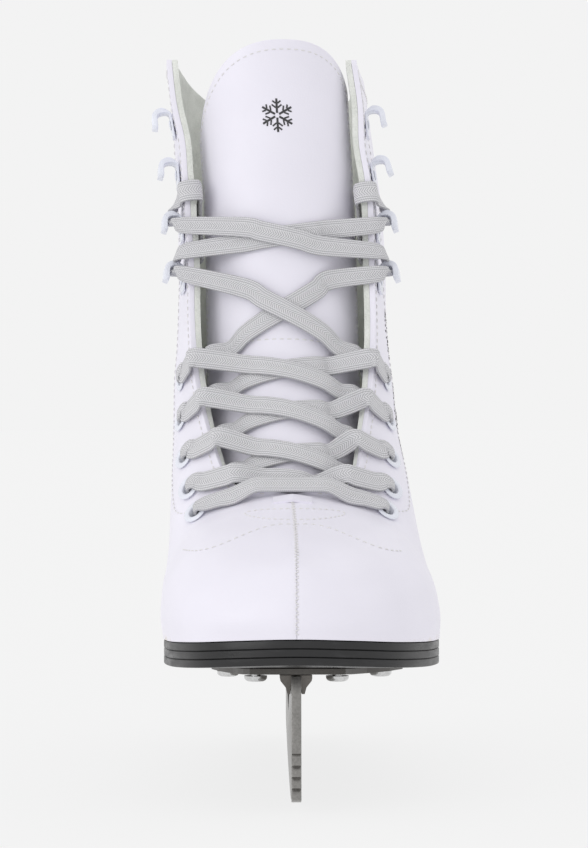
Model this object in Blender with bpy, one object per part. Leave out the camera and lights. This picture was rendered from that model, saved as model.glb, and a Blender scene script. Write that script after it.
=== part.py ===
"""Left figure skate: white leather boot, lacing hardware, lace, sole and blade assembly.

Frame: origin on the blade's lowest facet under the ball of the foot, toe towards -Y, lateral
side towards +X, +Z up. Work is done in millimetres and scaled to metres when a mesh is made.
"""
import math

import bmesh
import bpy
import numpy as np

MM = 0.001
BALL_T = 95.0            # distance of the ice contact behind the sole's toe tip
SEAM_GAP = 0.2           # half of the gap between the two half uppers at the centre seams
GAP = 0.3                # clearance between neighbouring pieces

LEATHER_T = 2.0          # upper leather thickness
LINING_T = 2.2           # padded lining thickness
STIFF_T = 1.4            # toe puff and heel counter thickness
SOLE_T = 8.6             # outsole thickness
SOLE_LIP = 1.0           # outsole proud of the upper
PLATE_T = 2.0            # steel sole and heel plate thickness
BLADE_T = 3.4            # blade thickness
TOOTH_TOPS = (19.3, 15.4, 11.5, 7.6)  # heights of the toe teeth's undercut tops
TOOTH_DROP = 3.4         # height of one toe tooth
BLADE_EAR = (18.8, 25.6)  # stretch behind the toe tip where the blade reaches up to the plate
SCREW_DROP = 0.6         # screw head below the sloping sole plate, measured on the screw's axis
HEEL_PLATE_Z = 50.0      # top of the heel plate
ROCKER_R = 2200.0        # blade rocker radius
LACE_W = 7.8             # lace width lying flat
LACE_T = 1.4             # lace thickness
EYELET_IN_R = 2.65       # eyelet bore radius
EYELET_OUT_R = 3.05      # eyelet barrel radius
EYELET_FLANGE_R = 4.9    # eyelet flange radius
EYELET_Z = (98.5, 108.5, 120.0, 134.0, 149.5)
EYELET_D = (27.0, 15.5, 13.5, 13.0, 12.5)
EYELET_LIFT = (0.95, 0.6, 0.5, 0.65, 0.5)  # flange height over the leather, row by row
HOOK_Z = (187.9, 207.6, 228.6, 248.5)
HOOK_D = 9.5
TONGUE_R = 30.0          # tongue arc radius
TONGUE_ROUND = 0.12      # greatest fall of the tongue's top, as a share of its length
TONGUE_PEAK = 0.15        # how far towards the outer side the top is highest, of half the width
TONGUE_AXIS = (77.5, 98.0)  # distance behind toe tip, height of the tongue's sewn base

# Stations from the toe to the collar. Each gives half width, distance behind the toe tip and
# height for five rails: feather line or back seam, low side, side, upper side, top edge.
STATIONS = (
    ((0, 2, 59.6), (0, 0.5, 66), (0, 2, 74), (0, 7, 82), (0, 16, 87.5)),
    ((20, 7, 58.8), (21, 6, 66), (19, 9, 75), (14, 16, 84), (0, 27, 91)),
    ((35, 20, 57.4), (36.5, 20, 66), (34, 23, 76), (24, 29, 87), (0, 38, 94.5)),
    ((45, 42, 56.0), (46.5, 43, 66), (43, 45, 79), (30, 48, 91.5), (0, 52, 99)),
    ((49.5, 66, 55.2), (50, 67, 66), (46, 67, 81), (32, 67, 95.5), (0, 65, 103.3)),
    ((49.3, 84, 54.7), (49.7, 84, 67), (46.5, 82, 82), (33.5, 80, 97.5), (0, 76.5, 106.6)),
    ((49, 98, 54.4), (49, 98, 68), (46.6, 94, 85), (36.5, 88, 100), (12, 79.3, 108.3)),
    ((48, 113, 54.8), (48, 112, 71), (46.3, 106, 91), (40, 96, 105), (23, 86.5, 112)),
    ((46, 135, 57), (46.3, 132, 77), (45.6, 123, 103), (41.3, 112, 119), (29, 102, 129)),
    ((42.5, 160, 61.5), (44.6, 157, 84), (44.6, 146, 113), (41.3, 131, 134), (33, 116, 146)),
    ((38, 186, 69.5), (42.3, 181, 92), (43.8, 166, 121), (41.8, 146, 148), (34.8, 126, 162)),
    ((34.5, 212, 76.5), (40, 206, 103), (42.8, 182, 137), (40.8, 156, 163), (35.4, 132, 175)),
    ((29, 240, 79.5), (36.5, 230, 115), (41.6, 193, 152), (40.3, 163, 178), (35.4, 136, 189)),
    ((16.5, 255.5, 80.3), (30, 245, 128), (40.6, 199, 168), (39.8, 167, 192), (35.6, 138.5, 202)),
    ((0, 260.5, 80.5), (22, 251, 145), (40, 203, 185), (39.7, 170, 206), (36, 140, 215)),
    ((0, 262, 115), (20.5, 250, 171), (39.4, 206, 200), (39.6, 172, 219), (35.9, 141.5, 228)),
    ((0, 256, 175), (20, 247.5, 196), (39, 208, 215), (39, 174, 233), (35.4, 142.8, 241)),
    ((0, 252.3, 213), (20, 246.5, 224), (38, 212, 238), (38, 178, 250), (36.8, 144.3, 256)),
    ((0, 253.5, 248), (20, 247.5, 256), (36, 218, 268), (37.8, 183, 273), (36.6, 146, 273)),
)
CORNER = 14              # station whose lower end is the heel's back corner
LAST = len(STATIONS) - 1
THROAT = 5.0             # station where the centre seam ends and the flaps part

# Sideways lean of the boot's centre line against height.
LEAN_Z = (54, 70, 97, 112, 130, 150, 172, 195, 219, 246, 272)
LEAN_X = (2.5, 1.8, -0.2, -1.3, -2.8, -3.6, -4.0, -4.4, -5.4, -8.6, -12.0)
TONGUE_Z = (97, 112, 130, 150, 172, 195, 219, 246, 280)
TONGUE_X = (-0.2, -1.3, -2.8, -3.6, -4.0, -4.4, -5.2, -7.0, -9.0)
TONGUE_LINE = ((77.5, 98.0), (84, 106.0), (92.5, 118.6), (106.5, 138), (118.5, 157), (126.5, 178),
               (130, 205), (131, 240), (130, 279))


def clear_scene():
    for obj in list(bpy.data.objects):
        bpy.data.objects.remove(obj, do_unlink=True)


def ramp(lo, hi, x):
    t = min(max((x - lo) / (hi - lo), 0.0), 1.0)
    return t * t * (3 - 2 * t)


def centre_x(t, z):
    """Sideways position of the boot's centre line."""
    lean = float(np.interp(z, LEAN_Z, LEAN_X))
    fade = ramp(0, 70, t) * (1 - 0.6 * ramp(160, 250, t))
    arch = 2.0 * ramp(105, 140, t) * (1 - ramp(170, 215, t)) * (1 - ramp(60, 85, z))
    return lean * fade + arch


def mirrored(p):
    return np.array((-p[0], p[1], p[2]))


def pad_rails(station, index):
    """Add the phantom rails that keep the surface smooth across the centre plane."""
    pts = [np.array(p, float) for p in station]
    low = mirrored(pts[1]) if index >= CORNER else 2 * pts[0] - pts[1]
    closed = 1 <= index <= 5
    high = mirrored(pts[3]) if closed else 2 * pts[4] - pts[3]
    return [low] + pts + [high]


def padded_table():
    rows = [pad_rails(s, i) for i, s in enumerate(STATIONS)]
    first = [mirrored(p) for p in rows[1]]
    last = [2 * a - b for a, b in zip(rows[-1], rows[-2])]
    return np.array([first] + rows + [last])


TABLE = padded_table()


def weights(t):
    return np.array((
        -0.5 * t + t * t - 0.5 * t ** 3,
        1 - 2.5 * t * t + 1.5 * t ** 3,
        0.5 * t + 2 * t * t - 1.5 * t ** 3,
        -0.5 * t * t + 0.5 * t ** 3,
    ))


def corner_rows(iu):
    """The four stations around a span, kept symmetric where a centre seam starts or ends."""
    rows = TABLE[iu:iu + 4].copy()
    if iu == CORNER:
        rows[0, 1] = 2 * rows[1, 1] - rows[2, 1]
        rows[0, 0] = mirrored(rows[0, 2])
    if iu == CORNER - 1:
        rows[3, 1] = mirrored(rows[1, 1])
        rows[3, 0] = mirrored(rows[1, 0])
    if iu == 4:
        rows[3, 5] = 2 * rows[2, 5] - rows[1, 5]
        rows[3, 6] = mirrored(rows[3, 4])
    return rows


def half_point(u, v):
    """Point of the half boot: u runs 0..18 toe to collar, v runs 0..4 bottom to top edge."""
    iu = int(min(max(math.floor(u), 0), LAST - 1))
    iv = int(min(max(math.floor(v), 0), 3))
    wu = weights(u - iu)
    wv = weights(v - iv)
    block = corner_rows(iu)[:, iv:iv + 4]
    p = np.einsum("i,j,ijk->k", wu, wv, block)
    p[0] = max(p[0], 0.0)
    return p


def skin(side, u, v, gap=SEAM_GAP):
    h, t, z = half_point(u, v)
    return np.array((side * (h + gap) + centre_x(t, z), t - BALL_T, z))


def skin_normal(side, u, v):
    e = 0.02
    if u < 0.06 and v > 3.85:
        v = 3.85         # the seam corner at the toe has no normal of its own
    u0, u1 = max(u - e, 0.0), min(u + e, LAST)
    v0, v1 = max(v - e, 0.0), min(v + e, 4.0)
    du = skin(side, u1, v) - skin(side, u0, v)
    dv = skin(side, u, v1) - skin(side, u, v0)
    n = np.cross(du, dv) * side
    n = n / np.linalg.norm(n)
    if half_point(u, v)[0] < 1e-6 or u < 1e-6:
        n[0] = 0.0
    if v < 1e-6 and u <= CORNER:
        n[2] = 0.0
    return n / np.linalg.norm(n)


def skin_offset(side, u, v, depth, gap=SEAM_GAP):
    return skin(side, u, v, gap) - depth * skin_normal(side, u, v)


def material(name, colour, rough, metal=0.0):
    mat = bpy.data.materials.new(name)
    mat.use_nodes = True
    bsdf = mat.node_tree.nodes["Principled BSDF"]
    bsdf.inputs["Base Color"].default_value = (*colour, 1.0)
    bsdf.inputs["Roughness"].default_value = rough
    bsdf.inputs["Metallic"].default_value = metal
    mat.diffuse_color = (*colour, 1.0)
    return mat


def make_object(name, verts, faces, mat, origin=None, smooth=True, weld=False):
    """Turn millimetre vertices into one closed object, origin optional (millimetres)."""
    shift = np.array(origin if origin is not None else (0.0, 0.0, 0.0))
    bm = bmesh.new()
    made = [bm.verts.new((np.array(p) - shift) * MM) for p in verts]
    for face in faces:
        bm.faces.new([made[i] for i in face])
    if weld:
        bmesh.ops.remove_doubles(bm, verts=bm.verts, dist=1e-6)
    bmesh.ops.recalc_face_normals(bm, faces=bm.faces)
    bmesh.ops.triangulate(bm, faces=bm.faces)
    mesh = bpy.data.meshes.new(name)
    bm.to_mesh(mesh)
    bm.free()
    obj = bpy.data.objects.new(name, mesh)
    obj.location = shift * MM
    bpy.context.scene.collection.objects.link(obj)
    mesh.materials.append(mat)
    for poly in mesh.polygons:
        poly.use_smooth = smooth
    return obj


def grid_faces(rows, cols, base=0, closed=False):
    faces = []
    last = cols if closed else cols - 1
    for i in range(rows - 1):
        for j in range(last):
            k = (j + 1) % cols
            a = base + i * cols + j
            b = base + i * cols + k
            faces.append((a, b, b + cols, a + cols))
    return faces


def shell(outer, inner):
    """Close two matching grids (rows x cols x 3) into a solid sheet."""
    rows, cols = outer.shape[:2]
    verts = np.concatenate((outer.reshape(-1, 3), inner.reshape(-1, 3)))
    off = rows * cols
    faces = grid_faces(rows, cols)
    faces += [tuple(reversed(f)) for f in grid_faces(rows, cols, off)]
    rim = [j for j in range(cols)]
    rim += [i * cols + cols - 1 for i in range(1, rows)]
    rim += [(rows - 1) * cols + j for j in range(cols - 2, -1, -1)]
    rim += [i * cols for i in range(rows - 2, 0, -1)]
    for a, b in zip(rim, rim[1:] + rim[:1]):
        faces.append((b, a, a + off, b + off))
    return verts, faces


def rings_solid(rings):
    """Loft closed rings of equal length, the first and last capped."""
    cols = len(rings[0])
    verts = [p for ring in rings for p in ring]
    faces = grid_faces(len(rings), cols, closed=True)
    faces.append(tuple(reversed(range(cols))))
    top = (len(rings) - 1) * cols
    faces.append(tuple(range(top, top + cols)))
    return verts, faces


def lathe(profile, centre, axis, segments=12):
    """Turn a closed (radius, height) profile about an axis, giving a ring-shaped solid."""
    axis = np.array(axis, float)
    axis = axis / np.linalg.norm(axis)
    helper = np.array((1.0, 0, 0)) if abs(axis[0]) < 0.8 else np.array((0, 1.0, 0))
    a = np.cross(axis, helper)
    a = a / np.linalg.norm(a)
    b = np.cross(axis, a)
    verts = []
    for k in range(segments):
        ang = 2 * math.pi * k / segments
        arm = a * math.cos(ang) + b * math.sin(ang)
        verts += [np.array(centre) + arm * r + axis * h for r, h in profile]
    n = len(profile)
    faces = []
    for k in range(segments):
        m = (k + 1) % segments
        for j in range(n):
            i = (j + 1) % n
            faces.append((k * n + j, m * n + j, m * n + i, k * n + i))
    return verts, faces


def turned(profile, centre, axis, segments=12):
    """Turn an open (radius, height) profile into a solid with flat caps."""
    axis = np.array(axis, float)
    axis = axis / np.linalg.norm(axis)
    helper = np.array((1.0, 0, 0)) if abs(axis[0]) < 0.8 else np.array((0, 1.0, 0))
    a = np.cross(axis, helper)
    a = a / np.linalg.norm(a)
    b = np.cross(axis, a)
    rings = []
    for r, h in profile:
        ring = []
        for k in range(segments):
            ang = 2 * math.pi * k / segments
            arm = a * math.cos(ang) + b * math.sin(ang)
            ring.append(np.array(centre) + arm * r + axis * h)
        rings.append(ring)
    return rings_solid(rings)


def cut(obj, cutters):
    """Subtract each cutter from the object and delete the cutters."""
    for tool in cutters:
        mod = obj.modifiers.new("hole", "BOOLEAN")
        mod.operation = "DIFFERENCE"
        mod.solver = "EXACT"
        mod.object = tool
    bpy.context.view_layer.update()
    deps = bpy.context.evaluated_depsgraph_get()
    mesh = bpy.data.meshes.new_from_object(obj.evaluated_get(deps))
    obj.modifiers.clear()
    obj.data = mesh
    for tool in cutters:
        bpy.data.objects.remove(tool, do_unlink=True)


# ---------------------------------------------------------------- boot layers

def in_counter(u, v):
    return ramp(9.3, 10.0, u) * (1 - ramp(15.9, 16.6, u)) * (1 - ramp(2.5, 3.0, v))


def in_puff(u, v):
    return 1 - ramp(3.0, 3.6, u)


def lining_depth(u, v):
    extra = max(in_counter(u, v), in_puff(u, v))
    return LEATHER_T + GAP + extra * (STIFF_T + GAP)


def lining_thickness(u, v):
    """Padding, thinned round the throat where the lace leaves the first eyelets."""
    throat = ramp(4.0, 4.8, u) * (1 - ramp(6.4, 7.3, u)) * ramp(2.9, 3.5, v)
    return LINING_T * (1 - 0.5 * throat)


def upper_grid(side, us, vs, depth_of):
    rows = []
    for u in us:
        rows.append([skin_offset(side, u, v, depth_of(u, v)) for v in vs])
    return np.array(rows)


def spaced(lo, hi, count):
    return [lo + (hi - lo) * i / (count - 1) for i in range(count)]


def layer_us(lo=0.0, hi=float(LAST)):
    """Station samples shared by every layer of the boot, so the facets stay parallel."""
    fine = [i * 0.6 for i in range(10)] + [6.0 + i * 0.66667 for i in range(19)]
    fine = [round(u, 4) for u in fine if u < LAST - 0.01] + [float(LAST)]
    return [u for u in fine if lo - 1e-6 <= u <= hi + 1e-6]


def layer_vs(lo=0.0, hi=4.0):
    return [i * 0.5 for i in range(9) if lo - 1e-6 <= i * 0.5 <= hi + 1e-6]


def build_upper(side, name, mat):
    us = layer_us()
    vs = layer_vs()
    outer = upper_grid(side, us, vs, lambda u, v: 0.0)
    inner = upper_grid(side, us, vs, lambda u, v: LEATHER_T)
    verts, faces = shell(outer, inner)
    obj = make_object(name, verts, faces, mat)
    tools = [hole_tool(side, u, d, EYELET_OUT_R + GAP) for u, d in eyelet_spots(side)]
    tools += [hole_tool(side, u, d, 1.7) for u, d in hook_spots(side)]
    cut(obj, tools)
    return obj


def build_lining(side, name, mat):
    us = layer_us()
    vs = layer_vs()
    outer = upper_grid(side, us, vs, lining_depth)
    inner = upper_grid(side, us, vs, lambda u, v: lining_depth(u, v) + lining_thickness(u, v))
    verts, faces = shell(outer, inner)
    obj = make_object(name, verts, faces, mat)
    tools = [hole_tool(side, u, d, EYELET_OUT_R + GAP) for u, d in eyelet_spots(side)]
    cut(obj, tools)
    return obj


def hole_tool(side, u, d, radius):
    frame = flap_frame(side, u, d)
    centre = frame["p"] - frame["n"] * 8.0
    verts, faces = turned([(radius, 0.0), (radius, 12.0)], centre, frame["n"], 12)
    obj = make_object("tool", verts, faces, bpy.data.materials[0])
    obj.hide_render = True
    obj.display_type = "WIRE"
    return obj


def build_folded(name, us, vs, depth, thick, mat):
    """A stiffener folded over the centre plane: both halves welded into one shell."""
    halves = []
    for side in (-1, 1):
        outer = np.array([[skin_offset(side, u, v, depth, 0.0) for v in vs] for u in us])
        inner = np.array([[skin_offset(side, u, v, depth + thick, 0.0) for v in vs] for u in us])
        halves.append((outer, inner))
    return folded_mesh(name, halves, mat)


def folded_mesh(name, halves, mat):
    """Surface grids of both halves welded, then the open rim closed between the layers."""
    bm = bmesh.new()
    layers = []
    for layer in (0, 1):
        grids = []
        for half in halves:
            rows = [[bm.verts.new(p * MM) for p in row] for row in half[layer]]
            grids.append(rows)
            for r0, r1 in zip(rows, rows[1:]):
                for a, b, c, d in zip(r0, r0[1:], r1[1:], r1):
                    bm.faces.new((a, b, c, d))
        layers.append(grids)
    bmesh.ops.remove_doubles(bm, verts=bm.verts, dist=2e-5)
    rims = [e for e in bm.edges if e.is_boundary]
    bmesh.ops.bridge_loops(bm, edges=rims)
    bmesh.ops.recalc_face_normals(bm, faces=bm.faces)
    bmesh.ops.triangulate(bm, faces=bm.faces)
    mesh = bpy.data.meshes.new(name)
    bm.to_mesh(mesh)
    bm.free()
    obj = bpy.data.objects.new(name, mesh)
    bpy.context.scene.collection.objects.link(obj)
    mesh.materials.append(mat)
    for poly in mesh.polygons:
        poly.use_smooth = True
    return obj


def build_back_stay(mat):
    us = layer_us(CORNER + 0.4)
    half = (0.0, 0.5)
    rows_out = []
    rows_in = []
    for u in us:
        cols = [(-1, v) for v in reversed(half[1:])] + [(1, v) for v in half]
        rows_out.append([skin_offset(s, u, v, -GAP - 1.2, 0.0) for s, v in cols])
        rows_in.append([skin_offset(s, u, v, -GAP, 0.0) for s, v in cols])
    verts, faces = shell(np.array(rows_out), np.array(rows_in))
    return make_object("back_stay", verts, faces, mat)


def build_throat_tab(mat):
    """Small reinforcing tab lying across the seam just in front of the throat."""
    layers = []
    for lift in (GAP + 0.9, GAP):
        rows = []
        for u in layer_us(4.1, 4.9):
            n = skin_normal(1, u, 4.0)
            mid = skin(1, u, 4.0, 0.0)
            left = mid * 0.6 + skin(-1, u, 3.5, 0.0) * 0.4
            right = mid * 0.6 + skin(1, u, 3.5, 0.0) * 0.4
            rows.append([left + n * lift, mid + n * lift, right + n * lift])
        layers.append(np.array(rows))
    verts, faces = shell(layers[0], layers[1])
    return make_object("throat_tab", verts, faces, mat)


# ---------------------------------------------------------------- flap coordinates

def flap_frame(side, u, d):
    """Frame on the flap at distance d behind its front edge: point, outward, inboard, upward."""
    v = 4.0
    run = 0.0
    prev = skin(side, u, v)
    while run < d and v > 2.0:
        v -= 0.02
        here = skin(side, u, v)
        run += np.linalg.norm(here - prev)
        prev = here
    n = skin_normal(side, u, v)
    inboard = skin(side, u, min(v + 0.05, 4.0)) - skin(side, u, min(v + 0.05, 4.0) - 0.1)
    inboard = inboard - n * np.dot(inboard, n)
    inboard = inboard / np.linalg.norm(inboard)
    up = np.cross(n, inboard)
    up = up if up[2] > 0 else -up
    point = prev if d >= 0 else prev - inboard * d
    return {"p": point, "n": n, "a": inboard, "e": up, "u": u, "v": v}


def spot_at(side, z, d):
    """Station of the flap point at height z and distance d behind the edge."""
    lo, hi = THROAT + 0.8, float(LAST)
    for _ in range(22):
        mid = (lo + hi) / 2
        if flap_frame(side, mid, d)["p"][2] < z:
            lo = mid
        else:
            hi = mid
    return (lo + hi) / 2


SPOTS = {}


def eyelet_spots(side):
    key = ("eyelet", side)
    if key not in SPOTS:
        SPOTS[key] = [(spot_at(side, z, d), d) for z, d in zip(EYELET_Z, EYELET_D)]
    return SPOTS[key]


def hook_spots(side):
    key = ("hook", side)
    if key not in SPOTS:
        SPOTS[key] = [(spot_at(side, z, HOOK_D), HOOK_D) for z in HOOK_Z]
    return SPOTS[key]


# ---------------------------------------------------------------- tongue

def line_point(points, t):
    """Catmull-Rom through 2-D points, t in 0..1, with the direction."""
    pts = [np.array(p, float) for p in points]
    pts = [2 * pts[0] - pts[1]] + pts + [2 * pts[-1] - pts[-2]]
    span = len(points) - 1
    x = min(max(t, 0.0), 1.0) * span
    i = int(min(math.floor(x), span - 1))
    w = weights(x - i)
    here = sum(k * p for k, p in zip(w, pts[i:i + 4]))
    w2 = weights(x - i + 0.01)
    ahead = sum(k * p for k, p in zip(w2, pts[i:i + 4]))
    step = ahead - here
    return here, step / np.linalg.norm(step)


def tongue_angle(s):
    return math.radians(56 + 23 * ramp(0.0, 0.42, s))


def tongue_radius(s):
    return TONGUE_R - 10 * (1 - ramp(0.02, 0.36, s))


def tongue_point(s, phi, depth):
    """Point on the tongue: s from base to top, phi the arc angle, depth under the face."""
    (t, z), (dt, dz) = line_point(TONGUE_LINE, s)
    nt, nz = -dz, dt
    full = tongue_radius(s)
    radius = full - depth
    side = radius * math.sin(phi)
    back = full - radius * math.cos(phi)
    tt = t - nt * back
    zz = z - nz * back
    x = float(np.interp(zz, TONGUE_Z, TONGUE_X))
    return np.array((x + side, tt - BALL_T, zz))


def tongue_normal(s, phi):
    a = tongue_point(s, phi, 0.0)
    b = tongue_point(s, phi, 1.0)
    n = a - b
    return n / np.linalg.norm(n)


def tongue_fall(q):
    """Share of the tongue's length by which its rounded top falls away at q (-1 to 1)."""
    return TONGUE_ROUND * (abs(q - TONGUE_PEAK) / (1 + TONGUE_PEAK)) ** 2.4


def tongue_layer(name, thick_of, mat, rows, cols, inset=0.0):
    outer = []
    inner = []
    for i in range(rows):
        r0 = []
        r1 = []
        for j in range(cols):
            q = -1 + 2 * j / (cols - 1)
            s = i / (rows - 1) * (1 - inset - tongue_fall(q))
            phi = q * (tongue_angle(s) - inset * 2.0)
            base, thick = thick_of(s)
            r0.append(tongue_point(s, phi, base))
            r1.append(tongue_point(s, phi, base + thick))
        outer.append(r0)
        inner.append(r1)
    verts, faces = shell(np.array(outer), np.array(inner))
    pivot = tongue_pivot()
    return make_object(name, verts, faces, mat, origin=pivot)


def tongue_pivot():
    return np.array((0.0, TONGUE_AXIS[0] - BALL_T, TONGUE_AXIS[1]))


def foam_depth(s):
    return 1.3 + GAP + 0.2, 1.2 + 3.3 * ramp(0.0, 0.16, s)


def tongue_lining_depth(s):
    base, thick = foam_depth(s)
    return base + thick + GAP, 1.0


# ---------------------------------------------------------------- sole and blade

def outline(margin):
    """Loop of outline points following the feather line plus a margin."""
    us = layer_us(0.0, CORNER)
    left = [skin(-1, u, 0.0, 0.0) for u in us]
    right = [skin(1, u, 0.0, 0.0) for u in us]
    loop = left + right[-2:0:-1]
    n = len(loop)
    out = []
    for i, p in enumerate(loop):
        d = loop[(i + 1) % n] - loop[i - 1]
        normal = np.array((d[1], -d[0], 0.0))
        normal = normal / np.linalg.norm(normal)
        out.append(p - normal * margin)
    return out


def loop_pairs(count):
    """Index pairs joining the medial and lateral halves of an outline loop."""
    n = 2 * count - 2
    return [(i, (n - i) % n) for i in range(count)]


def cap_faces(count, base, flip):
    pairs = loop_pairs(count)
    faces = []
    for (a, b), (c, d) in zip(pairs, pairs[1:]):
        face = [a, c, d, b]
        unique = []
        for k in face:
            if k not in unique:
                unique.append(k)
        face = tuple(base + k for k in unique)
        faces.append(tuple(reversed(face)) if flip else face)
    return faces


def banded_plate(name, levels, mat):
    """Stack outline rings given as (margin, height above the feather line)."""
    verts = []
    faces = []
    count = len(layer_us(0.0, CORNER))
    n = 2 * count - 2
    for margin, height in levels:
        ring = outline(margin)
        verts += [p + np.array((0, 0, height)) for p in ring]
    faces = grid_faces(len(levels), n, closed=True)
    faces += cap_faces(count, 0, True)
    faces += cap_faces(count, (len(levels) - 1) * n, False)
    return make_object(name, verts, faces, mat)


def build_outsole(mat):
    top = -GAP
    lip = SOLE_LIP
    band = SOLE_T / 3
    levels = (
        (lip - 0.5, top), (lip, top - 0.4), (lip, top - band + 0.3), (lip - 0.7, top - band),
        (lip, top - band - 0.3), (lip, top - 2 * band + 0.3), (lip - 0.7, top - 2 * band),
        (lip, top - 2 * band - 0.3), (lip, top - SOLE_T + 0.4), (lip - 0.6, top - SOLE_T),
    )
    return banded_plate("outsole", levels, mat)


def feather_z(t):
    """Height of the feather line at distance t behind the toe tip."""
    pts = [half_point(u, 0.0) for u in layer_us(0.0, CORNER)]
    return float(np.interp(t, [p[1] for p in pts], [p[2] for p in pts]))


def sole_bottom(t):
    return feather_z(t) - GAP - SOLE_T


def half_widths(t):
    """Medial and lateral edges of the outsole at distance t."""
    us = spaced(0, CORNER, 90)
    left = [skin(-1, u, 0.0, 0.0) for u in us]
    right = [skin(1, u, 0.0, 0.0) for u in us]
    y = t - BALL_T
    xl = np.interp(y, [p[1] for p in left], [p[0] for p in left])
    xr = np.interp(y, [p[1] for p in right], [p[0] for p in right])
    return float(xl), float(xr)


def strip_solid(name, ts, edges, top_of, bottom_of, mat, smooth=False):
    """Loft of four-cornered sections along the foot."""
    rings = []
    for t in ts:
        xl, xr = edges(t)
        y = t - BALL_T
        rings.append([
            np.array((xl, y, bottom_of(t))), np.array((xr, y, bottom_of(t))),
            np.array((xr, y, top_of(t))), np.array((xl, y, top_of(t))),
        ])
    verts, faces = rings_solid(rings)
    return make_object(name, verts, faces, mat, smooth=smooth)


def heel_edges(t):
    xl, xr = half_widths(t)
    return xl - 0.4, xr + 0.4


def heel_block_ts():
    return (184, 190, 197, 204, 212, 220, 228, 236, 243, 248, 252, 255, 257.5, 259.3, 260.3)


def heel_floor(t):
    return HEEL_PLATE_Z + GAP


def front_plate_edges(t):
    mid = (18, 22, 30, 42, 56, 72, 88, 100, 108, 113)
    lo = (-12, -16, -19, -22, -26.5, -30, -29, -24, -16, -8)
    hi = (13, 17, 20, 25, 33, 39, 37, 29, 19, 9)
    return float(np.interp(t, mid, lo)), float(np.interp(t, mid, hi))


def heel_plate_edges(t):
    mid = (190, 193, 200, 212, 228, 240, 250, 255, 257)
    half = (13, 18, 22, 24, 24, 22, 17, 11, 6)
    w = float(np.interp(t, mid, half))
    return -w, w


def rocker_z(t):
    back = (t - BALL_T) ** 2 / (2 * ROCKER_R)
    front = 0.0 if t > 60 else (60 - t) ** 2 / 900.0
    flat = 0.0 if abs(t - BALL_T) <= 10 else back
    return flat + front


def blade_outline():
    """Side view of the blade as (distance behind toe tip, height)."""
    pts = [(13.0, 19.8)]
    for z in TOOTH_TOPS:
        pts += [(14.2, z), (12.0, z - TOOTH_DROP)]
    pts += [(13.8, 3.5), (16.5, 2.8), (20.5, 3.3), (23.5, 5.2), (27.0, 2.9)]
    pts += [(t, rocker_z(t)) for t in (32, 40, 50, 60, 72, 85, 95, 105)]
    pts += [(t, rocker_z(t)) for t in range(118, 262, 12)]
    pts += [(263, 7.0), (266.5, 8.6), (267.5, 12.5), (266, 17.0), (262, 21.0)]
    pts += [(254, 27.0), (250, 34.0), (249, 44.0)]
    pts += [(198, 44.0), (196, 36.0), (189, 28.5), (178, 24.5), (160, 22.5), (140, 22.5)]
    pts += [(122, 24.5), (112, 29.0), (106, 35.0), (104, 39.0)]
    front, back = BLADE_EAR
    pts += [(back, blade_roof(back)), (back, front_roof(back) - GAP)]
    pts += [(front, front_roof(front) - GAP), (17.2, 38.0), (15.8, 31.0)]
    return pts


def extrude_x(name, outline_pts, half, mat, smooth=False):
    rings = []
    for x in (-half, half):
        rings.append([np.array((x, t - BALL_T, z)) for t, z in outline_pts])
    verts, faces = rings_solid(rings)
    return make_object(name, verts, faces, mat, smooth=smooth)


def channel(name, ts, top_of, depth, flare, mat):
    """Saddle straddling the blade's top: flared outside, slotted underneath."""
    slot = BLADE_T / 2 + GAP
    rings = []
    for t in ts:
        y = t - BALL_T
        top = top_of(t)
        low = top - depth
        roof = blade_roof(t) + GAP
        section = (
            (-slot, low), (-slot, roof), (slot, roof), (slot, low), (slot + 1.0, low),
            (slot + 1.6, low + depth * 0.35), (slot + 3.4, low + depth * 0.7),
            (flare, top - 1.0), (flare, top), (-flare, top), (-flare, top - 1.0),
            (-slot - 3.4, low + depth * 0.7), (-slot - 1.6, low + depth * 0.35), (-slot - 1.0, low),
        )
        rings.append([np.array((x, y, z)) for x, z in section])
    verts, faces = rings_solid(rings)
    return make_object(name, verts, faces, mat, smooth=False)


def blade_roof(t):
    """Height of the blade's top edge where it sits in the mounts."""
    if t > 150:
        return 44.0
    return float(np.interp(t, (30, 104), (40.2, 39.0)))


def front_roof(t):
    return sole_bottom(t) - GAP - PLATE_T - GAP


def heel_roof(t):
    return HEEL_PLATE_Z - PLATE_T - GAP


def build_screw(name, x, t, head_z, length, mat):
    """Pan-head screw driven upwards, head under the plate, shank in a clearance hole."""
    profile = [(1.2, -2.1), (3.4, -1.7), (4.0, -0.9), (4.0, 0.0), (1.7, 0.0), (1.7, length)]
    centre = (x, t - BALL_T, head_z)
    verts, faces = turned(profile, centre, (0, 0, 1), 10)
    return make_object(name, verts, faces, mat)


def drill(obj, spots, radius, z0, z1):
    tools = []
    for x, t in spots:
        verts, faces = turned([(radius, 0.0), (radius, z1 - z0)], (x, t - BALL_T, z0), (0, 0, 1), 10)
        tool = make_object("tool", verts, faces, bpy.data.materials[0])
        tool.hide_render = True
        tool.display_type = "WIRE"
        tools.append(tool)
    cut(obj, tools)


FRONT_HOLE_Z = 53.1      # top of the outsole's blind screw holes
FRONT_SCREWS = ((-14, 35), (14.5, 35), (-24, 72), (31, 72), (-16, 98), (19, 98))
HEEL_SCREWS = ((-15, 204), (15, 204), (-13, 243), (13, 243))


# ---------------------------------------------------------------- lacing hardware

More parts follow.
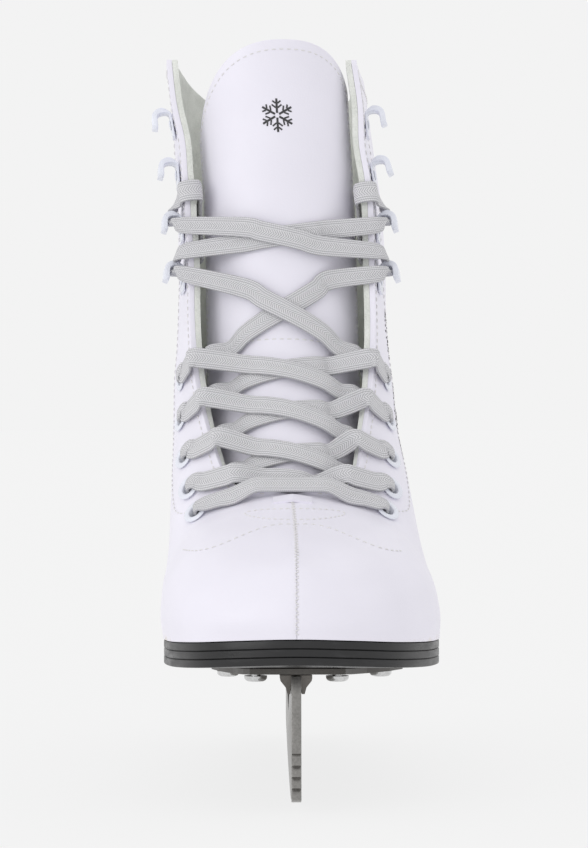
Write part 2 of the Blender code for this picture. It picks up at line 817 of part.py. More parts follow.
def build_eyelet(side, index, mat):
    u, d = eyelet_spots(side)[index]
    frame = flap_frame(side, u, d)
    deep = -(LEATHER_T + LINING_T + GAP + 0.2)
    lift = EYELET_LIFT[index]
    profile = [
        (EYELET_IN_R, deep), (EYELET_OUT_R, deep), (EYELET_OUT_R, lift),
        (EYELET_FLANGE_R, lift), (EYELET_FLANGE_R - 0.3, lift + 0.3),
        (EYELET_OUT_R + 0.5, lift + 0.5), (EYELET_IN_R + 0.1, lift + 0.3),
    ]
    verts, faces = lathe(profile, frame["p"], frame["n"], 12)
    tag = "m" if side < 0 else "l"
    return make_object("eyelet_%s%d" % (tag, index + 1), verts, faces, mat)


def hook_profile():
    """Centre line of the hook strip as (height off the leather, along the flap)."""
    return ((0.75, -5.2), (0.75, -1.0), (0.75, 3.4), (1.5, 4.9), (3.2, 5.3), (5.0, 5.1),
            (6.1, 4.2), (6.5, 2.4), (6.6, 0.2), (7.0, -1.2))


def hook_half_width(k):
    return (3.2, 4.2, 3.6, 3.0, 2.7, 2.7, 2.8, 3.0, 2.9, 2.0)[k]


def build_hook(side, index, mat):
    u, d = hook_spots(side)[index]
    frame = flap_frame(side, u, d)
    pts = hook_profile()
    rings = []
    for k, (h, z) in enumerate(pts):
        a = np.array(pts[max(k - 1, 0)])
        b = np.array(pts[min(k + 1, len(pts) - 1)])
        tan = (b - a) / np.linalg.norm(b - a)
        nor = np.array((tan[1], -tan[0])) * 0.45
        w = hook_half_width(k)
        ring = []
        for sx, sn in ((-1, -1), (1, -1), (1, 1), (-1, 1)):
            hh = h + nor[0] * sn
            zz = z + nor[1] * sn
            ring.append(frame["p"] + frame["n"] * hh + frame["e"] * zz + frame["a"] * (w * sx))
        rings.append(ring)
    verts, faces = rings_solid(rings)
    tag = "m" if side < 0 else "l"
    obj = make_object("hook_%s%d" % (tag, index + 1), verts, faces, mat, smooth=False)
    centre = frame["p"] - frame["n"] * 1.0
    verts, faces = turned([(1.7, 0.0), (1.7, 3.0)], centre, frame["n"], 10)
    tool = make_object("tool", verts, faces, mat)
    cut(obj, [tool])
    return obj


def build_rivet(side, index, mat):
    u, d = hook_spots(side)[index]
    frame = flap_frame(side, u, d)
    profile = [(1.35, -1.7), (1.35, 1.4), (2.0, 1.4), (1.9, 1.6), (1.2, 1.8)]
    verts, faces = turned(profile, frame["p"], frame["n"], 10)
    tag = "m" if side < 0 else "l"
    return make_object("rivet_%s%d" % (tag, index + 1), verts, faces, mat)


# ---------------------------------------------------------------- lace

def key(point, normal, width=LACE_W):
    return (np.array(point, float), np.array(normal, float), float(width))


def eyelet_keys(side, index):
    """Lace keys going over the flap edge, down through an eyelet and back under the flap."""
    u, d = eyelet_spots(side)[index]
    f = flap_frame(side, u, d)
    edge = flap_frame(side, u - 0.1, 0.0)
    half = flap_frame(side, u - 0.05, d * 0.52)
    p, n, a = f["p"], f["n"], f["a"]
    out = [key(edge["p"] + edge["a"] * 5.0 + edge["n"] * 0.9, edge["n"], 7.2)]
    out.append(key(edge["p"] + edge["a"] * 1.0 + edge["n"] * 2.0, edge["n"]))
    out.append(key(half["p"] + half["n"] * 1.5, half["n"]))
    top = EYELET_LIFT[index] - 0.4
    out.append(key(p + a * 4.6 + n * (1.9 + top), n, 6.6))
    out.append(key(p + a * 1.9 + n * (2.15 + top), n, 4.9))
    out.append(key(p + a * 0.55 + n * (1.6 + top), n - a, 4.2))
    out.append(key(p + n * 0.3, -a, 4.1))
    out.append(key(p - n * 2.4, -a, 4.1))
    out.append(key(p - n * 4.8, -a, 4.1))
    out.append(key(p + a * 0.55 - n * 6.1, -n - a, 4.2))
    out.append(key(p + a * 1.9 - n * 6.65, -n, 4.9))
    out.append(key(p + a * 5.0 - n * 6.6, -n, 6.4))
    leave = 6.35 - u if index == 0 else 0.2
    half = flap_frame(side, u + leave * 0.6, d * 0.45)
    edge = flap_frame(side, u + leave, 0.0)
    out.append(key(half["p"] - half["n"] * 6.5, -half["n"]))
    if index > 0:
        out.append(key(edge["p"] - edge["n"] * 6.4, -edge["n"], 7.4))
    else:
        out.append(key((side * 15.0 - 1.0, -7.5, 105.8), (side * 0.4, -0.66, 0.6), 6.0))
    return out


def over_tongue(side, start, end, lift):
    """Keys across the tongue between two points on its opposite sides."""
    near = min(1.0, abs(start[0] - tongue_centre(start)) / 26)
    far = min(1.0, abs(end[0] - tongue_centre(end)) / 28)
    s0 = max(tongue_near(start, 18 * near * side), 0.155)
    s1 = max(tongue_near(end, 16 * far * -side), 0.17)
    out = []
    steps = [(19, 0.04), (13.6, 0.2), (6.7, 0.36), (0, 0.5), (-6.7, 0.64), (-12.7, 0.78)]
    if not lift and s1 > 0.2:
        steps.append((-17, 0.9))
    for width, share in steps:
        s = s0 + (s1 - s0) * share
        if width > 18 and s0 < 0.16:
            continue
        ang = tongue_arc(s, width * side * (near if width > 0 else far))
        n = tongue_normal(s, ang)
        raised = lift and (width < 7 or s0 > 0.16)
        rise = LACE_T / 2 + GAP + 0.45 + (LACE_T + GAP if raised else 0.0)
        rise += 0.35 if abs(width) > 10 else 0.0
        rise += 0.3 if s < 0.2 else 0.0
        out.append(key(tongue_point(s, ang, -rise), n, 7.2))
    return out


def tongue_centre(point):
    return float(np.interp(point[2], TONGUE_Z, TONGUE_X))


def tongue_arc(s, width):
    """Arc angle of the tongue point at a sideways distance from its centre line."""
    return math.asin(max(-0.97, min(0.97, width / tongue_radius(s))))


def tongue_near(point, width):
    """Tongue parameter whose point at a sideways distance is closest to a point."""
    best = None
    for i in range(101):
        s = i / 100
        run = np.linalg.norm(tongue_point(s, tongue_arc(s, width), 0.0) - point)
        if best is None or run < best[0]:
            best = (run, s)
    return best[1]


def hook_entry(f, edge):
    """Lace keys entering a hook's mouth and rounding the back of its web."""
    p, n, a, e = f["p"], f["n"], f["a"], f["e"]
    out = [key(edge["p"] + edge["a"] * 1.0 + n * 2.2 - e * 1.8, n, 6.0)]
    out.append(key(p + a * 5.6 + n * 3.1 + e * 0.8, n * 0.6 - e, 4.4))
    out.append(key(p + a * 1.5 + n * 3.75 + e * 2.4, -e, 3.6))
    out.append(key(p - a * 2.8 + n * 3.75 + e * 2.9, -e - a * 0.4, 3.6))
    out.append(key(p - a * 4.8 + n * 3.75 + e * 5.2, -a, 3.6))
    return out


def hook_keys(side, index):
    """Lace keys passing through the hook's mouth, round its back and away inboard."""
    u, d = hook_spots(side)[index]
    f = flap_frame(side, u, d)
    edge = flap_frame(side, u, 0.0)
    p, n, a, e = f["p"], f["n"], f["a"], f["e"]
    out = hook_entry(f, edge)
    out.append(key(p - a * 3.0 + n * 3.4 + e * 7.4, e - a * 0.5, 3.7))
    out.append(key(p + a * 1.5 + n * 2.9 + e * 8.0, e + n * 0.8, 4.4))
    out.append(key(edge["p"] + edge["a"] * 1.0 + n * 2.2 + e * 7.2, n, 6.0))
    return out


def flap_at(side, z, d):
    return flap_frame(side, spot_at(side, z, d), d)


def tail_keys(side, index):
    """Lace keys rising behind the last laced hook, over the flap edge and down inside."""
    u, d = hook_spots(side)[index]
    f = flap_frame(side, u, d)
    p, n, a, e = f["p"], f["n"], f["a"], f["e"]
    z = HOOK_Z[index]
    out = hook_entry(f, flap_frame(side, u, 0.0))
    out.append(key(p - a * 3.4 + n * 3.3 + e * 8.0, e - a * 0.6, 3.7))
    out.append(key(p + a * 0.6 + n * 2.5 + e * 9.8, e * 0.6 + n, 5.4))
    g = flap_at(side, z + 12.0, 4.2)
    out.append(key(g["p"] + g["n"] * 1.35, g["n"], 7.0))
    k = flap_at(side, z + 13.5, 0.0)
    out.append(key(k["p"] + k["a"] * 0.2 + k["n"] * 1.45, k["n"] + k["a"] * 0.2))
    out.append(key(k["p"] + k["a"] * 2.2 - k["n"] * 0.2, k["a"] + k["n"] * 0.4))
    out.append(key(k["p"] + k["a"] * 2.5 - k["n"] * 3.6, k["a"] - k["n"] * 0.3))
    out.append(key(k["p"] + k["a"] * 0.6 - k["n"] * 6.4, -k["n"] + k["a"] * 0.3))
    for dist, drop in ((5.0, 3.0), (8.0, 10.0), (8.0, 18.0), (8.0, 26.0)):
        m = flap_at(side, k["p"][2] - drop, dist)
        out.append(key(m["p"] - m["n"] * 6.3, -m["n"]))
    return out


def half_lace(start):
    """Keys of one half of the lace, from its first eyelet to the tucked tail."""
    out = []
    side = start
    for i in range(5):
        out += eyelet_keys(side, i)[(4 if i == 0 else 0):]
        ahead = eyelet_keys(-side, i + 1) if i < 4 else hook_keys(-side, 0)
        out += over_tongue(side, out[-1][0], ahead[0][0], side > 0)
        side = -side
    out += hook_keys(side, 0)
    ahead = tail_keys(-side, 1)
    out += over_tongue(side, out[-1][0], ahead[0][0], side > 0)[1:]
    out += ahead
    return out


def bar_keys():
    """Keys of the first straight bar, from the medial eyelet to the lateral one."""
    out = []
    for side in (-1, 1):
        u, _ = eyelet_spots(side)[0]
        part = []
        for dist, rise in ((22.0, 2.3), (16.5, 2.2), (11.0, 2.6)):
            f = flap_frame(side, u, dist)
            part.append(key(f["p"] + f["n"] * rise, f["n"], 6.8))
        part.append(key((side * 13.5 - 1.0, -16.8, 110.0), (side * 0.3, -0.7, 0.66), 6.8))
        part.append(key((side * 6.0 - 1.0, -17.3, 110.3), (side * 0.12, -0.7, 0.7), 6.8))
        out += part if side < 0 else part[::-1]
    return out


def lace_keys():
    a = half_lace(-1)
    b = half_lace(1)
    return list(reversed(a)) + bar_keys() + b


def smooth_keys(keys, spacing):
    """Catmull-Rom samples through the keys with continuous normals."""
    pos = np.array([k[0] for k in keys])
    nor = np.array([k[1] / np.linalg.norm(k[1]) for k in keys])
    wid = np.array([k[2] for k in keys])
    pos = np.vstack((2 * pos[0] - pos[1], pos, 2 * pos[-1] - pos[-2]))
    samples = []
    for i in range(len(keys) - 1):
        run = np.linalg.norm(pos[i + 2] - pos[i + 1])
        count = max(1, int(round(run / spacing)))
        for j in range(count):
            t = j / count
            w = weights(t)
            p = sum(k * q for k, q in zip(w, pos[i:i + 4]))
            n = nor[i] * (1 - t) + nor[i + 1] * t
            samples.append((p, n, wid[i] * (1 - t) + wid[i + 1] * t))
    samples.append((pos[-2], nor[-1], wid[-1]))
    return samples


def lace_rings(samples):
    rings = []
    pts = [s[0] for s in samples]
    for i, (p, n, w) in enumerate(samples):
        tan = pts[min(i + 1, len(pts) - 1)] - pts[max(i - 1, 0)]
        tan = tan / np.linalg.norm(tan)
        nn = n - tan * np.dot(n, tan)
        nn = nn / np.linalg.norm(nn)
        side = np.cross(tan, nn)
        hw, ht = w / 2, LACE_T / 2
        shape = ((-hw, -ht), (hw, -ht), (hw, ht), (-hw, ht))
        rings.append([p + side * x + nn * y for x, y in shape])
    return rings


def consistent(keys):
    """Flip normals where the lace face would otherwise swap over between two keys."""
    out = [keys[0]]
    for p, n, w in keys[1:]:
        prev = out[-1][1]
        out.append((p, -n if np.dot(n, prev) < 0 else n, w))
    return out


def build_lace(mat):
    samples = smooth_keys(consistent(lace_keys()), 3.4)
    verts, faces = rings_solid(lace_rings(samples))
    return make_object("lace", verts, faces, mat)


# ---------------------------------------------------------------- assembly

def build_boot(m):
    for side, tag in ((-1, "medial"), (1, "lateral")):
        build_upper(side, "upper_" + tag, m["leather"])
        build_lining(side, "lining_" + tag, m["lining"])
    build_back_stay(m["leather"])
    build_throat_tab(m["leather"])
    build_folded("toe_puff", layer_us(0.0, 2.4), layer_vs(0.5), LEATHER_T + GAP, STIFF_T, m["board"])
    build_counter(layer_us(10.5, 15.5), m["board"])


def build_counter(us, mat):
    halves = []
    for side in (-1, 1):
        layers = []
        for depth in (LEATHER_T + GAP, LEATHER_T + GAP + STIFF_T):
            rows = []
            for u in us:
                rows.append([skin_offset(side, u, v, depth, 0.0) for v in layer_vs(0.0, 2.0)])
            layers.append(np.array(rows))
        halves.append(tuple(layers))
    folded_mesh("heel_counter", halves, mat)


def build_tongue(m):
    tongue_layer("tongue_outer", lambda s: (0.0, 1.3), m["leather"], 17, 11)
    tongue_layer("tongue_foam", foam_depth, m["foam"], 17, 11, 0.012)
    tongue_layer("tongue_lining", tongue_lining_depth, m["lining"], 17, 11, 0.006)


def build_sole(m):
    build_outsole(m["sole"])
    strip_solid("heel_block", heel_block_ts(), heel_edges, lambda t: sole_bottom(t) - 0.6,
                heel_floor, m["sole"])
    banded_plate("insole_board", ((-7.2, 1.9), (-7.2, 3.9)), m["board"])
    banded_plate("footbed", ((-7.4, 4.2), (-7.4, 7.2)), m["foam"])
    ts = spaced(110, 215, 14)
    strip_solid("shank", ts, lambda t: (-9.0, 9.0), lambda t: feather_z(t) + 1.4,
                lambda t: feather_z(t) + 0.1, m["steel"])


def build_blade(m):
    ts = (18, 22, 28, 35, 42, 50, 58, 66, 72, 80, 88, 96, 102, 108, 113)
    plate = strip_solid("front_sole_plate", ts, front_plate_edges, lambda t: sole_bottom(t) - GAP,
                        lambda t: sole_bottom(t) - GAP - PLATE_T, m["plate"])
    ts = (190, 193, 200, 212, 228, 240, 250, 255, 257)
    heel = strip_solid("heel_plate", ts, heel_plate_edges, lambda t: HEEL_PLATE_Z,
                       lambda t: HEEL_PLATE_Z - PLATE_T, m["plate"])
    extrude_x("blade", blade_outline(), BLADE_T / 2, m["steel"])
    channel("front_mount_channel", spaced(26, 106, 11), front_roof, 6.5, 5.6, m["root"])
    channel("rear_mount_channel", spaced(197, 251, 5), lambda t: heel_roof(t), 10.0, 8.0, m["root"])
    for i, (x, t) in enumerate(FRONT_SCREWS):
        z = sole_bottom(t) - GAP - PLATE_T - SCREW_DROP
        build_screw("front_screw_%d" % (i + 1), x, t, z, 8.0, m["screw"])
    for i, (x, t) in enumerate(HEEL_SCREWS):
        z = HEEL_PLATE_Z - PLATE_T - GAP
        build_screw("heel_screw_%d" % (i + 1), x, t, z, 14.0, m["screw"])
    drill(plate, FRONT_SCREWS, 2.1, 30.0, 56.0)
    drill(heel, HEEL_SCREWS, 2.1, 40.0, 56.0)
    drill(bpy.data.objects["outsole"], FRONT_SCREWS, 2.1, 30.0, FRONT_HOLE_Z)
    drill(bpy.data.objects["heel_block"], HEEL_SCREWS, 2.1, 40.0, 64.0)


def build_hardware(m):
    for side in (-1, 1):
        for i in range(5):
            build_eyelet(side, i, m["painted"])
        for i in range(4):
            build_hook(side, i, m["painted"])
            build_rivet(side, i, m["painted"])


def make_materials():
    return {
        "leather": material("white_leather", (0.84, 0.84, 0.88), 0.45),
        "lining": material("plush_lining", (0.68, 0.72, 0.67), 0.95),
        "board": material("fibre_board", (0.55, 0.45, 0.32), 0.85),
        "foam": material("foam", (0.86, 0.84, 0.76), 0.95),
        "sole": material("black_sole", (0.015, 0.015, 0.017), 0.3),
        "plate": material("dark_steel_plate", (0.10, 0.095, 0.09), 0.38, 1.0),
        "root": material("bright_root", (0.62, 0.61, 0.60), 0.3, 1.0),
        "steel": material("blade_steel", (0.42, 0.41, 0.40), 0.32, 1.0),
        "screw": material("screw_steel", (0.66, 0.66, 0.66), 0.25, 1.0),
        "painted": material("white_paint", (0.78, 0.80, 0.88), 0.35),
        "lace": material("lace_braid", (0.58, 0.58, 0.60), 0.85),
    }


def main():
    clear_scene()
    mats = make_materials()
    build_boot(mats)
    build_tongue(mats)
    build_sole(mats)
    build_blade(mats)
    build_hardware(mats)
    build_lace(mats["lace"])


main()
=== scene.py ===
"""Looks of the left figure skate: fine surfaces, stitching, woven lace and materials.

The shapes repeat the part's own formulas at a finer step. Work is in millimetres and is scaled
to metres when a mesh is made.
"""

import math
from collections import namedtuple
from functools import cache

import bmesh
import bpy
import numpy as np
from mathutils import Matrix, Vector


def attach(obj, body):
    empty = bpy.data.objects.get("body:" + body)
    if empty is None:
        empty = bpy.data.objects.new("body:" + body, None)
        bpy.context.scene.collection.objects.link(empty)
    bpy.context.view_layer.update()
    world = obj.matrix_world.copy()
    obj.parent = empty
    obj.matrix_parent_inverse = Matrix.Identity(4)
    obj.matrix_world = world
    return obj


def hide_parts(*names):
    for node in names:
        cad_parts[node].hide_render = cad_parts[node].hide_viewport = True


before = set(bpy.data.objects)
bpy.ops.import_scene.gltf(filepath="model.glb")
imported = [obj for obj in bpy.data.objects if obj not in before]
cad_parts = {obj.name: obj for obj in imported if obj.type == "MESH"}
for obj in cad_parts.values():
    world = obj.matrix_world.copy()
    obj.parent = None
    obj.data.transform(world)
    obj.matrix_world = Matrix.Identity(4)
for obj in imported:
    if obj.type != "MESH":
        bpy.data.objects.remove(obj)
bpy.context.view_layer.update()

MM = 0.001
BALL_T = 95.0            # distance of the ice contact behind the sole's toe tip
SEAM_GAP = 0.2           # half of the gap between the two half uppers at the centre seams
GAP = 0.3                # clearance between neighbouring pieces

LEATHER_T = 2.0          # upper leather thickness
LINING_T = 2.2           # padded lining thickness
STIFF_T = 1.4            # toe puff and heel counter thickness
SOLE_T = 8.6             # outsole thickness
SOLE_LIP = 1.0           # outsole proud of the upper
PLATE_T = 2.0            # steel sole and heel plate thickness
BLADE_T = 3.4            # blade thickness
TOOTH_TOPS = (19.3, 15.4, 11.5, 7.6)  # heights of the toe teeth's undercut tops
TOOTH_DROP = 3.4         # height of one toe tooth
BLADE_EAR = (18.8, 25.6)  # stretch behind the toe tip where the blade reaches up to the plate
SCREW_DROP = 0.6         # screw head below the sloping sole plate, measured on the screw's axis
HEEL_PLATE_Z = 50.0      # top of the heel plate
ROCKER_R = 2200.0        # blade rocker radius
LACE_W = 7.8             # lace width lying flat
LACE_T = 1.4             # lace thickness
EYELET_IN_R = 2.65       # eyelet bore radius
EYELET_OUT_R = 3.05      # eyelet barrel radius
EYELET_FLANGE_R = 4.9    # eyelet flange radius
EYELET_Z = (98.5, 108.5, 120.0, 134.0, 149.5)
EYELET_D = (27.0, 15.5, 13.5, 13.0, 12.5)
EYELET_LIFT = (0.95, 0.6, 0.5, 0.65, 0.5)  # flange height over the leather, row by row
HOOK_Z = (187.9, 207.6, 228.6, 248.5)
HOOK_D = 9.5             # distance of the hooks behind the flap's edge
HOOK_BORE_R = 1.7        # hole for a hook's rivet
TONGUE_R = 30.0          # tongue arc radius
TONGUE_ROUND = 0.12      # greatest fall of the tongue's top, as a share of its length
TONGUE_PEAK = 0.15        # how far towards the outer side the top is highest, of half the width


# Stations from the toe to the collar. Each gives half width, distance behind the toe tip and
# height for five rails: feather line or back seam, low side, side, upper side, top edge.
STATIONS = (
    ((0, 2, 59.6), (0, 0.5, 66), (0, 2, 74), (0, 7, 82), (0, 16, 87.5)),
    ((20, 7, 58.8), (21, 6, 66), (19, 9, 75), (14, 16, 84), (0, 27, 91)),
    ((35, 20, 57.4), (36.5, 20, 66), (34, 23, 76), (24, 29, 87), (0, 38, 94.5)),
    ((45, 42, 56.0), (46.5, 43, 66), (43, 45, 79), (30, 48, 91.5), (0, 52, 99)),
    ((49.5, 66, 55.2), (50, 67, 66), (46, 67, 81), (32, 67, 95.5), (0, 65, 103.3)),
    ((49.3, 84, 54.7), (49.7, 84, 67), (46.5, 82, 82), (33.5, 80, 97.5), (0, 76.5, 106.6)),
    ((49, 98, 54.4), (49, 98, 68), (46.6, 94, 85), (36.5, 88, 100), (12, 79.3, 108.3)),
    ((48, 113, 54.8), (48, 112, 71), (46.3, 106, 91), (40, 96, 105), (23, 86.5, 112)),
    ((46, 135, 57), (46.3, 132, 77), (45.6, 123, 103), (41.3, 112, 119), (29, 102, 129)),
    ((42.5, 160, 61.5), (44.6, 157, 84), (44.6, 146, 113), (41.3, 131, 134), (33, 116, 146)),
    ((38, 186, 69.5), (42.3, 181, 92), (43.8, 166, 121), (41.8, 146, 148), (34.8, 126, 162)),
    ((34.5, 212, 76.5), (40, 206, 103), (42.8, 182, 137), (40.8, 156, 163), (35.4, 132, 175)),
    ((29, 240, 79.5), (36.5, 230, 115), (41.6, 193, 152), (40.3, 163, 178), (35.4, 136, 189)),
    ((16.5, 255.5, 80.3), (30, 245, 128), (40.6, 199, 168), (39.8, 167, 192), (35.6, 138.5, 202)),
    ((0, 260.5, 80.5), (22, 251, 145), (40, 203, 185), (39.7, 170, 206), (36, 140, 215)),
    ((0, 262, 115), (20.5, 250, 171), (39.4, 206, 200), (39.6, 172, 219), (35.9, 141.5, 228)),
    ((0, 256, 175), (20, 247.5, 196), (39, 208, 215), (39, 174, 233), (35.4, 142.8, 241)),
    ((0, 252.3, 213), (20, 246.5, 224), (38, 212, 238), (38, 178, 250), (36.8, 144.3, 256)),
    ((0, 253.5, 248), (20, 247.5, 256), (36, 218, 268), (37.8, 183, 273), (36.6, 146, 273)),
)
CORNER = 14              # station whose lower end is the heel's back corner
LAST = len(STATIONS) - 1
THROAT = 5.0             # station where the centre seam ends and the flaps part

# Sideways lean of the boot's centre line against height.
LEAN_Z = (54, 70, 97, 112, 130, 150, 172, 195, 219, 246, 272)
LEAN_X = (2.5, 1.8, -0.2, -1.3, -2.8, -3.6, -4.0, -4.4, -5.4, -8.6, -12.0)
TONGUE_Z = (97, 112, 130, 150, 172, 195, 219, 246, 280)
TONGUE_X = (-0.2, -1.3, -2.8, -3.6, -4.0, -4.4, -5.2, -7.0, -9.0)
TONGUE_LINE = ((77.5, 98.0), (84, 106.0), (92.5, 118.6), (106.5, 138), (118.5, 157), (126.5, 178),
               (130, 205), (131, 240), (130, 279))


def unit(v):
    return v / np.linalg.norm(v)


def ramp(lo, hi, x):
    t = min(max((x - lo) / (hi - lo), 0.0), 1.0)
    return t * t * (3 - 2 * t)


def centre_x(t, z):
    """Sideways position of the boot's centre line."""
    lean = float(np.interp(z, LEAN_Z, LEAN_X))
    fade = ramp(0, 70, t) * (1 - 0.6 * ramp(160, 250, t))
    arch = 2.0 * ramp(105, 140, t) * (1 - ramp(170, 215, t)) * (1 - ramp(60, 85, z))
    return lean * fade + arch


def mirrored(p):
    return np.array((-p[0], p[1], p[2]))


def pad_rails(station, index):
    """Add the phantom rails that keep the surface smooth across the centre plane."""
    pts = [np.array(p, float) for p in station]
    low = mirrored(pts[1]) if index >= CORNER else 2 * pts[0] - pts[1]
    closed = 1 <= index <= 5
    high = mirrored(pts[3]) if closed else 2 * pts[4] - pts[3]
    return [low] + pts + [high]


def padded_table():
    rows = [pad_rails(s, i) for i, s in enumerate(STATIONS)]
    first = [mirrored(p) for p in rows[1]]
    last = [2 * a - b for a, b in zip(rows[-1], rows[-2])]
    return np.array([first] + rows + [last])


TABLE = padded_table()


def weights(t):
    """Catmull-Rom shares of four neighbours at t (0 to 1) between the middle two."""
    return np.array((
        -0.5 * t + t * t - 0.5 * t ** 3,
        1 - 2.5 * t * t + 1.5 * t ** 3,
        0.5 * t + 2 * t * t - 1.5 * t ** 3,
        -0.5 * t * t + 0.5 * t ** 3,
    ))


def with_ends(rows):
    """Rows with one more at each end, carried on straight."""
    rows = np.array(rows, float)
    return np.vstack((2 * rows[0] - rows[1], rows, 2 * rows[-1] - rows[-2]))


def corner_rows(iu):
    """The four stations around a span, kept symmetric where a centre seam starts or ends."""
    rows = TABLE[iu:iu + 4].copy()
    if iu == CORNER:
        rows[0, 1] = 2 * rows[1, 1] - rows[2, 1]
        rows[0, 0] = mirrored(rows[0, 2])
    if iu == CORNER - 1:
        rows[3, 1] = mirrored(rows[1, 1])
        rows[3, 0] = mirrored(rows[1, 0])
    if iu == 4:
        rows[3, 5] = 2 * rows[2, 5] - rows[1, 5]
        rows[3, 6] = mirrored(rows[3, 4])
    return rows


def half_point(u, v):
    """Point of the half boot: u runs 0..18 toe to collar, v runs 0..4 bottom to top edge."""
    iu = int(min(max(math.floor(u), 0), LAST - 1))
    iv = int(min(max(math.floor(v), 0), 3))
    block = corner_rows(iu)[:, iv:iv + 4]
    p = np.einsum("i,j,ijk->k", weights(u - iu), weights(v - iv), block)
    p[0] = max(p[0], 0.0)
    return p


def skin(side, u, v, gap=SEAM_GAP):
    h, t, z = half_point(u, v)
    return np.array((side * (h + gap) + centre_x(t, z), t - BALL_T, z))


def skin_normal(side, u, v):
    e = 0.02
    if u < 0.06 and v > 3.85:
        v = 3.85         # the seam corner at the toe has no normal of its own
    u0, u1 = max(u - e, 0.0), min(u + e, LAST)
    v0, v1 = max(v - e, 0.0), min(v + e, 4.0)
    du = skin(side, u1, v) - skin(side, u0, v)
    dv = skin(side, u, v1) - skin(side, u, v0)
    n = np.cross(du, dv) * side
    n = unit(n)
    if half_point(u, v)[0] < 1e-6 or u < 1e-6:
        n[0] = 0.0
    if v < 1e-6 and u <= CORNER:
        n[2] = 0.0
    return unit(n)


def skin_spot(side, u, v, lift=0.0, gap=SEAM_GAP):
    """Point lifted off the boot's surface, and the surface's normal there."""
    n = skin_normal(side, u, v)
    return skin(side, u, v, gap) + lift * n, n


def grid_faces(rows, cols, base=0, closed=False):
    faces = []
    last = cols if closed else cols - 1
    for i in range(rows - 1):
        for j in range(last):
            k = (j + 1) % cols
            a = base + i * cols + j
            b = base + i * cols + k
            faces.append((a, b, b + cols, a + cols))
    return faces


def shell(outer, inner):
    """Close two matching grids (rows x cols x 3) into a solid sheet."""
    rows, cols = outer.shape[:2]
    verts = np.concatenate((outer.reshape(-1, 3), inner.reshape(-1, 3)))
    off = rows * cols
    faces = grid_faces(rows, cols)
    faces += [tuple(reversed(f)) for f in grid_faces(rows, cols, off)]
    rim = [j for j in range(cols)]
    rim += [i * cols + cols - 1 for i in range(1, rows)]
    rim += [(rows - 1) * cols + j for j in range(cols - 2, -1, -1)]
    rim += [i * cols for i in range(rows - 2, 0, -1)]
    for a, b in zip(rim, rim[1:] + rim[:1]):
        faces.append((b, a, a + off, b + off))
    return verts, faces


def rings_solid(rings):
    """Loft closed rings of equal length, the first and last capped."""
    cols = len(rings[0])
    verts = [p for ring in rings for p in ring]
    faces = grid_faces(len(rings), cols, closed=True)
    faces.append(tuple(reversed(range(cols))))
    top = (len(rings) - 1) * cols
    faces.append(tuple(range(top, top + cols)))
    return verts, faces


def spun(profile, centre, axis, segments):
    """Points of a (radius, height) profile turned about an axis, one row for each segment."""
    axis = unit(np.array(axis, float))
    helper = np.array((1.0, 0, 0)) if abs(axis[0]) < 0.8 else np.array((0, 1.0, 0))
    a = unit(np.cross(axis, helper))
    b = np.cross(axis, a)
    rows = []
    for k in range(segments):
        ang = math.tau * k / segments
        arm = a * math.cos(ang) + b * math.sin(ang)
        rows.append([centre + arm * r + axis * h for r, h in profile])
    return rows


def lathe(profile, centre, axis, segments):
    """Ring-shaped solid turned from a closed profile."""
    verts = [p for row in spun(profile, centre, axis, segments) for p in row]
    faces = grid_faces(segments + 1, len(profile), closed=True)
    return verts, [tuple(i % len(verts) for i in face) for face in faces]


def turned(profile, centre, axis, segments):
    """Solid with flat caps turned from an open profile."""
    return rings_solid(list(zip(*spun(profile, centre, axis, segments))))


def in_counter(u, v):
    return ramp(9.3, 10.0, u) * (1 - ramp(15.9, 16.6, u)) * (1 - ramp(2.5, 3.0, v))


def in_puff(u, v):
    return 1 - ramp(3.0, 3.6, u)


def lining_depth(u, v):
    extra = max(in_counter(u, v), in_puff(u, v))
    return LEATHER_T + GAP + extra * (STIFF_T + GAP)


def lining_thickness(u, v):
    """Padding, thinned round the throat where the lace leaves the first eyelets."""
    throat = ramp(4.0, 4.8, u) * (1 - ramp(6.4, 7.3, u)) * ramp(2.9, 3.5, v)
    return LINING_T * (1 - 0.5 * throat)


def spaced(lo, hi, count):
    return [lo + (hi - lo) * i / (count - 1) for i in range(count)]


Spot = namedtuple("Spot", "p n a e")  # point on a flap, with directions outward, inboard and up


def flap_frame(side, u, d):
    """Spot on the flap at station u and distance d behind its front edge."""
    v = 4.0
    run = 0.0
    point = skin(side, u, v)
    while run < d and v > 2.0:
        v -= 0.02
        here = skin(side, u, v)
        run += np.linalg.norm(here - point)
        point = here
    n = skin_normal(side, u, v)
    front = min(v + 0.05, 4.0)
    inboard = skin(side, u, front) - skin(side, u, front - 0.1)
    inboard = unit(inboard - n * np.dot(inboard, n))
    up = np.cross(n, inboard)
    return Spot(point, n, inboard, up if up[2] > 0 else -up)


def solve(height, target, lo, hi):
    """Place between lo and hi where a rising height reaches its target."""
    for _ in range(22):
        mid = (lo + hi) / 2
        if height(mid) < target:
            lo = mid
        else:
            hi = mid
    return (lo + hi) / 2


def spot_at(side, z, d):
    """Station of the flap point at height z and distance d behind the edge."""
    return solve(lambda u: flap_frame(side, u, d).p[2], z, THROAT + 0.8, float(LAST))


@cache
def eyelet_spots(side):
    return [(spot_at(side, z, d), d) for z, d in zip(EYELET_Z, EYELET_D)]


@cache
def hook_spots(side):
    return [(spot_at(side, z, HOOK_D), HOOK_D) for z in HOOK_Z]


TONGUE_ROWS = with_ends(TONGUE_LINE)


def tongue_line(s):
    """Point of the tongue's side line at s (0 to 1), with its direction."""
    x = min(max(s, 0.0), 1.0) * (len(TONGUE_LINE) - 1)
    i = int(min(math.floor(x), len(TONGUE_LINE) - 2))
    here, ahead = (weights(x - i + step) @ TONGUE_ROWS[i:i + 4] for step in (0.0, 0.01))
    return here, unit(ahead - here)


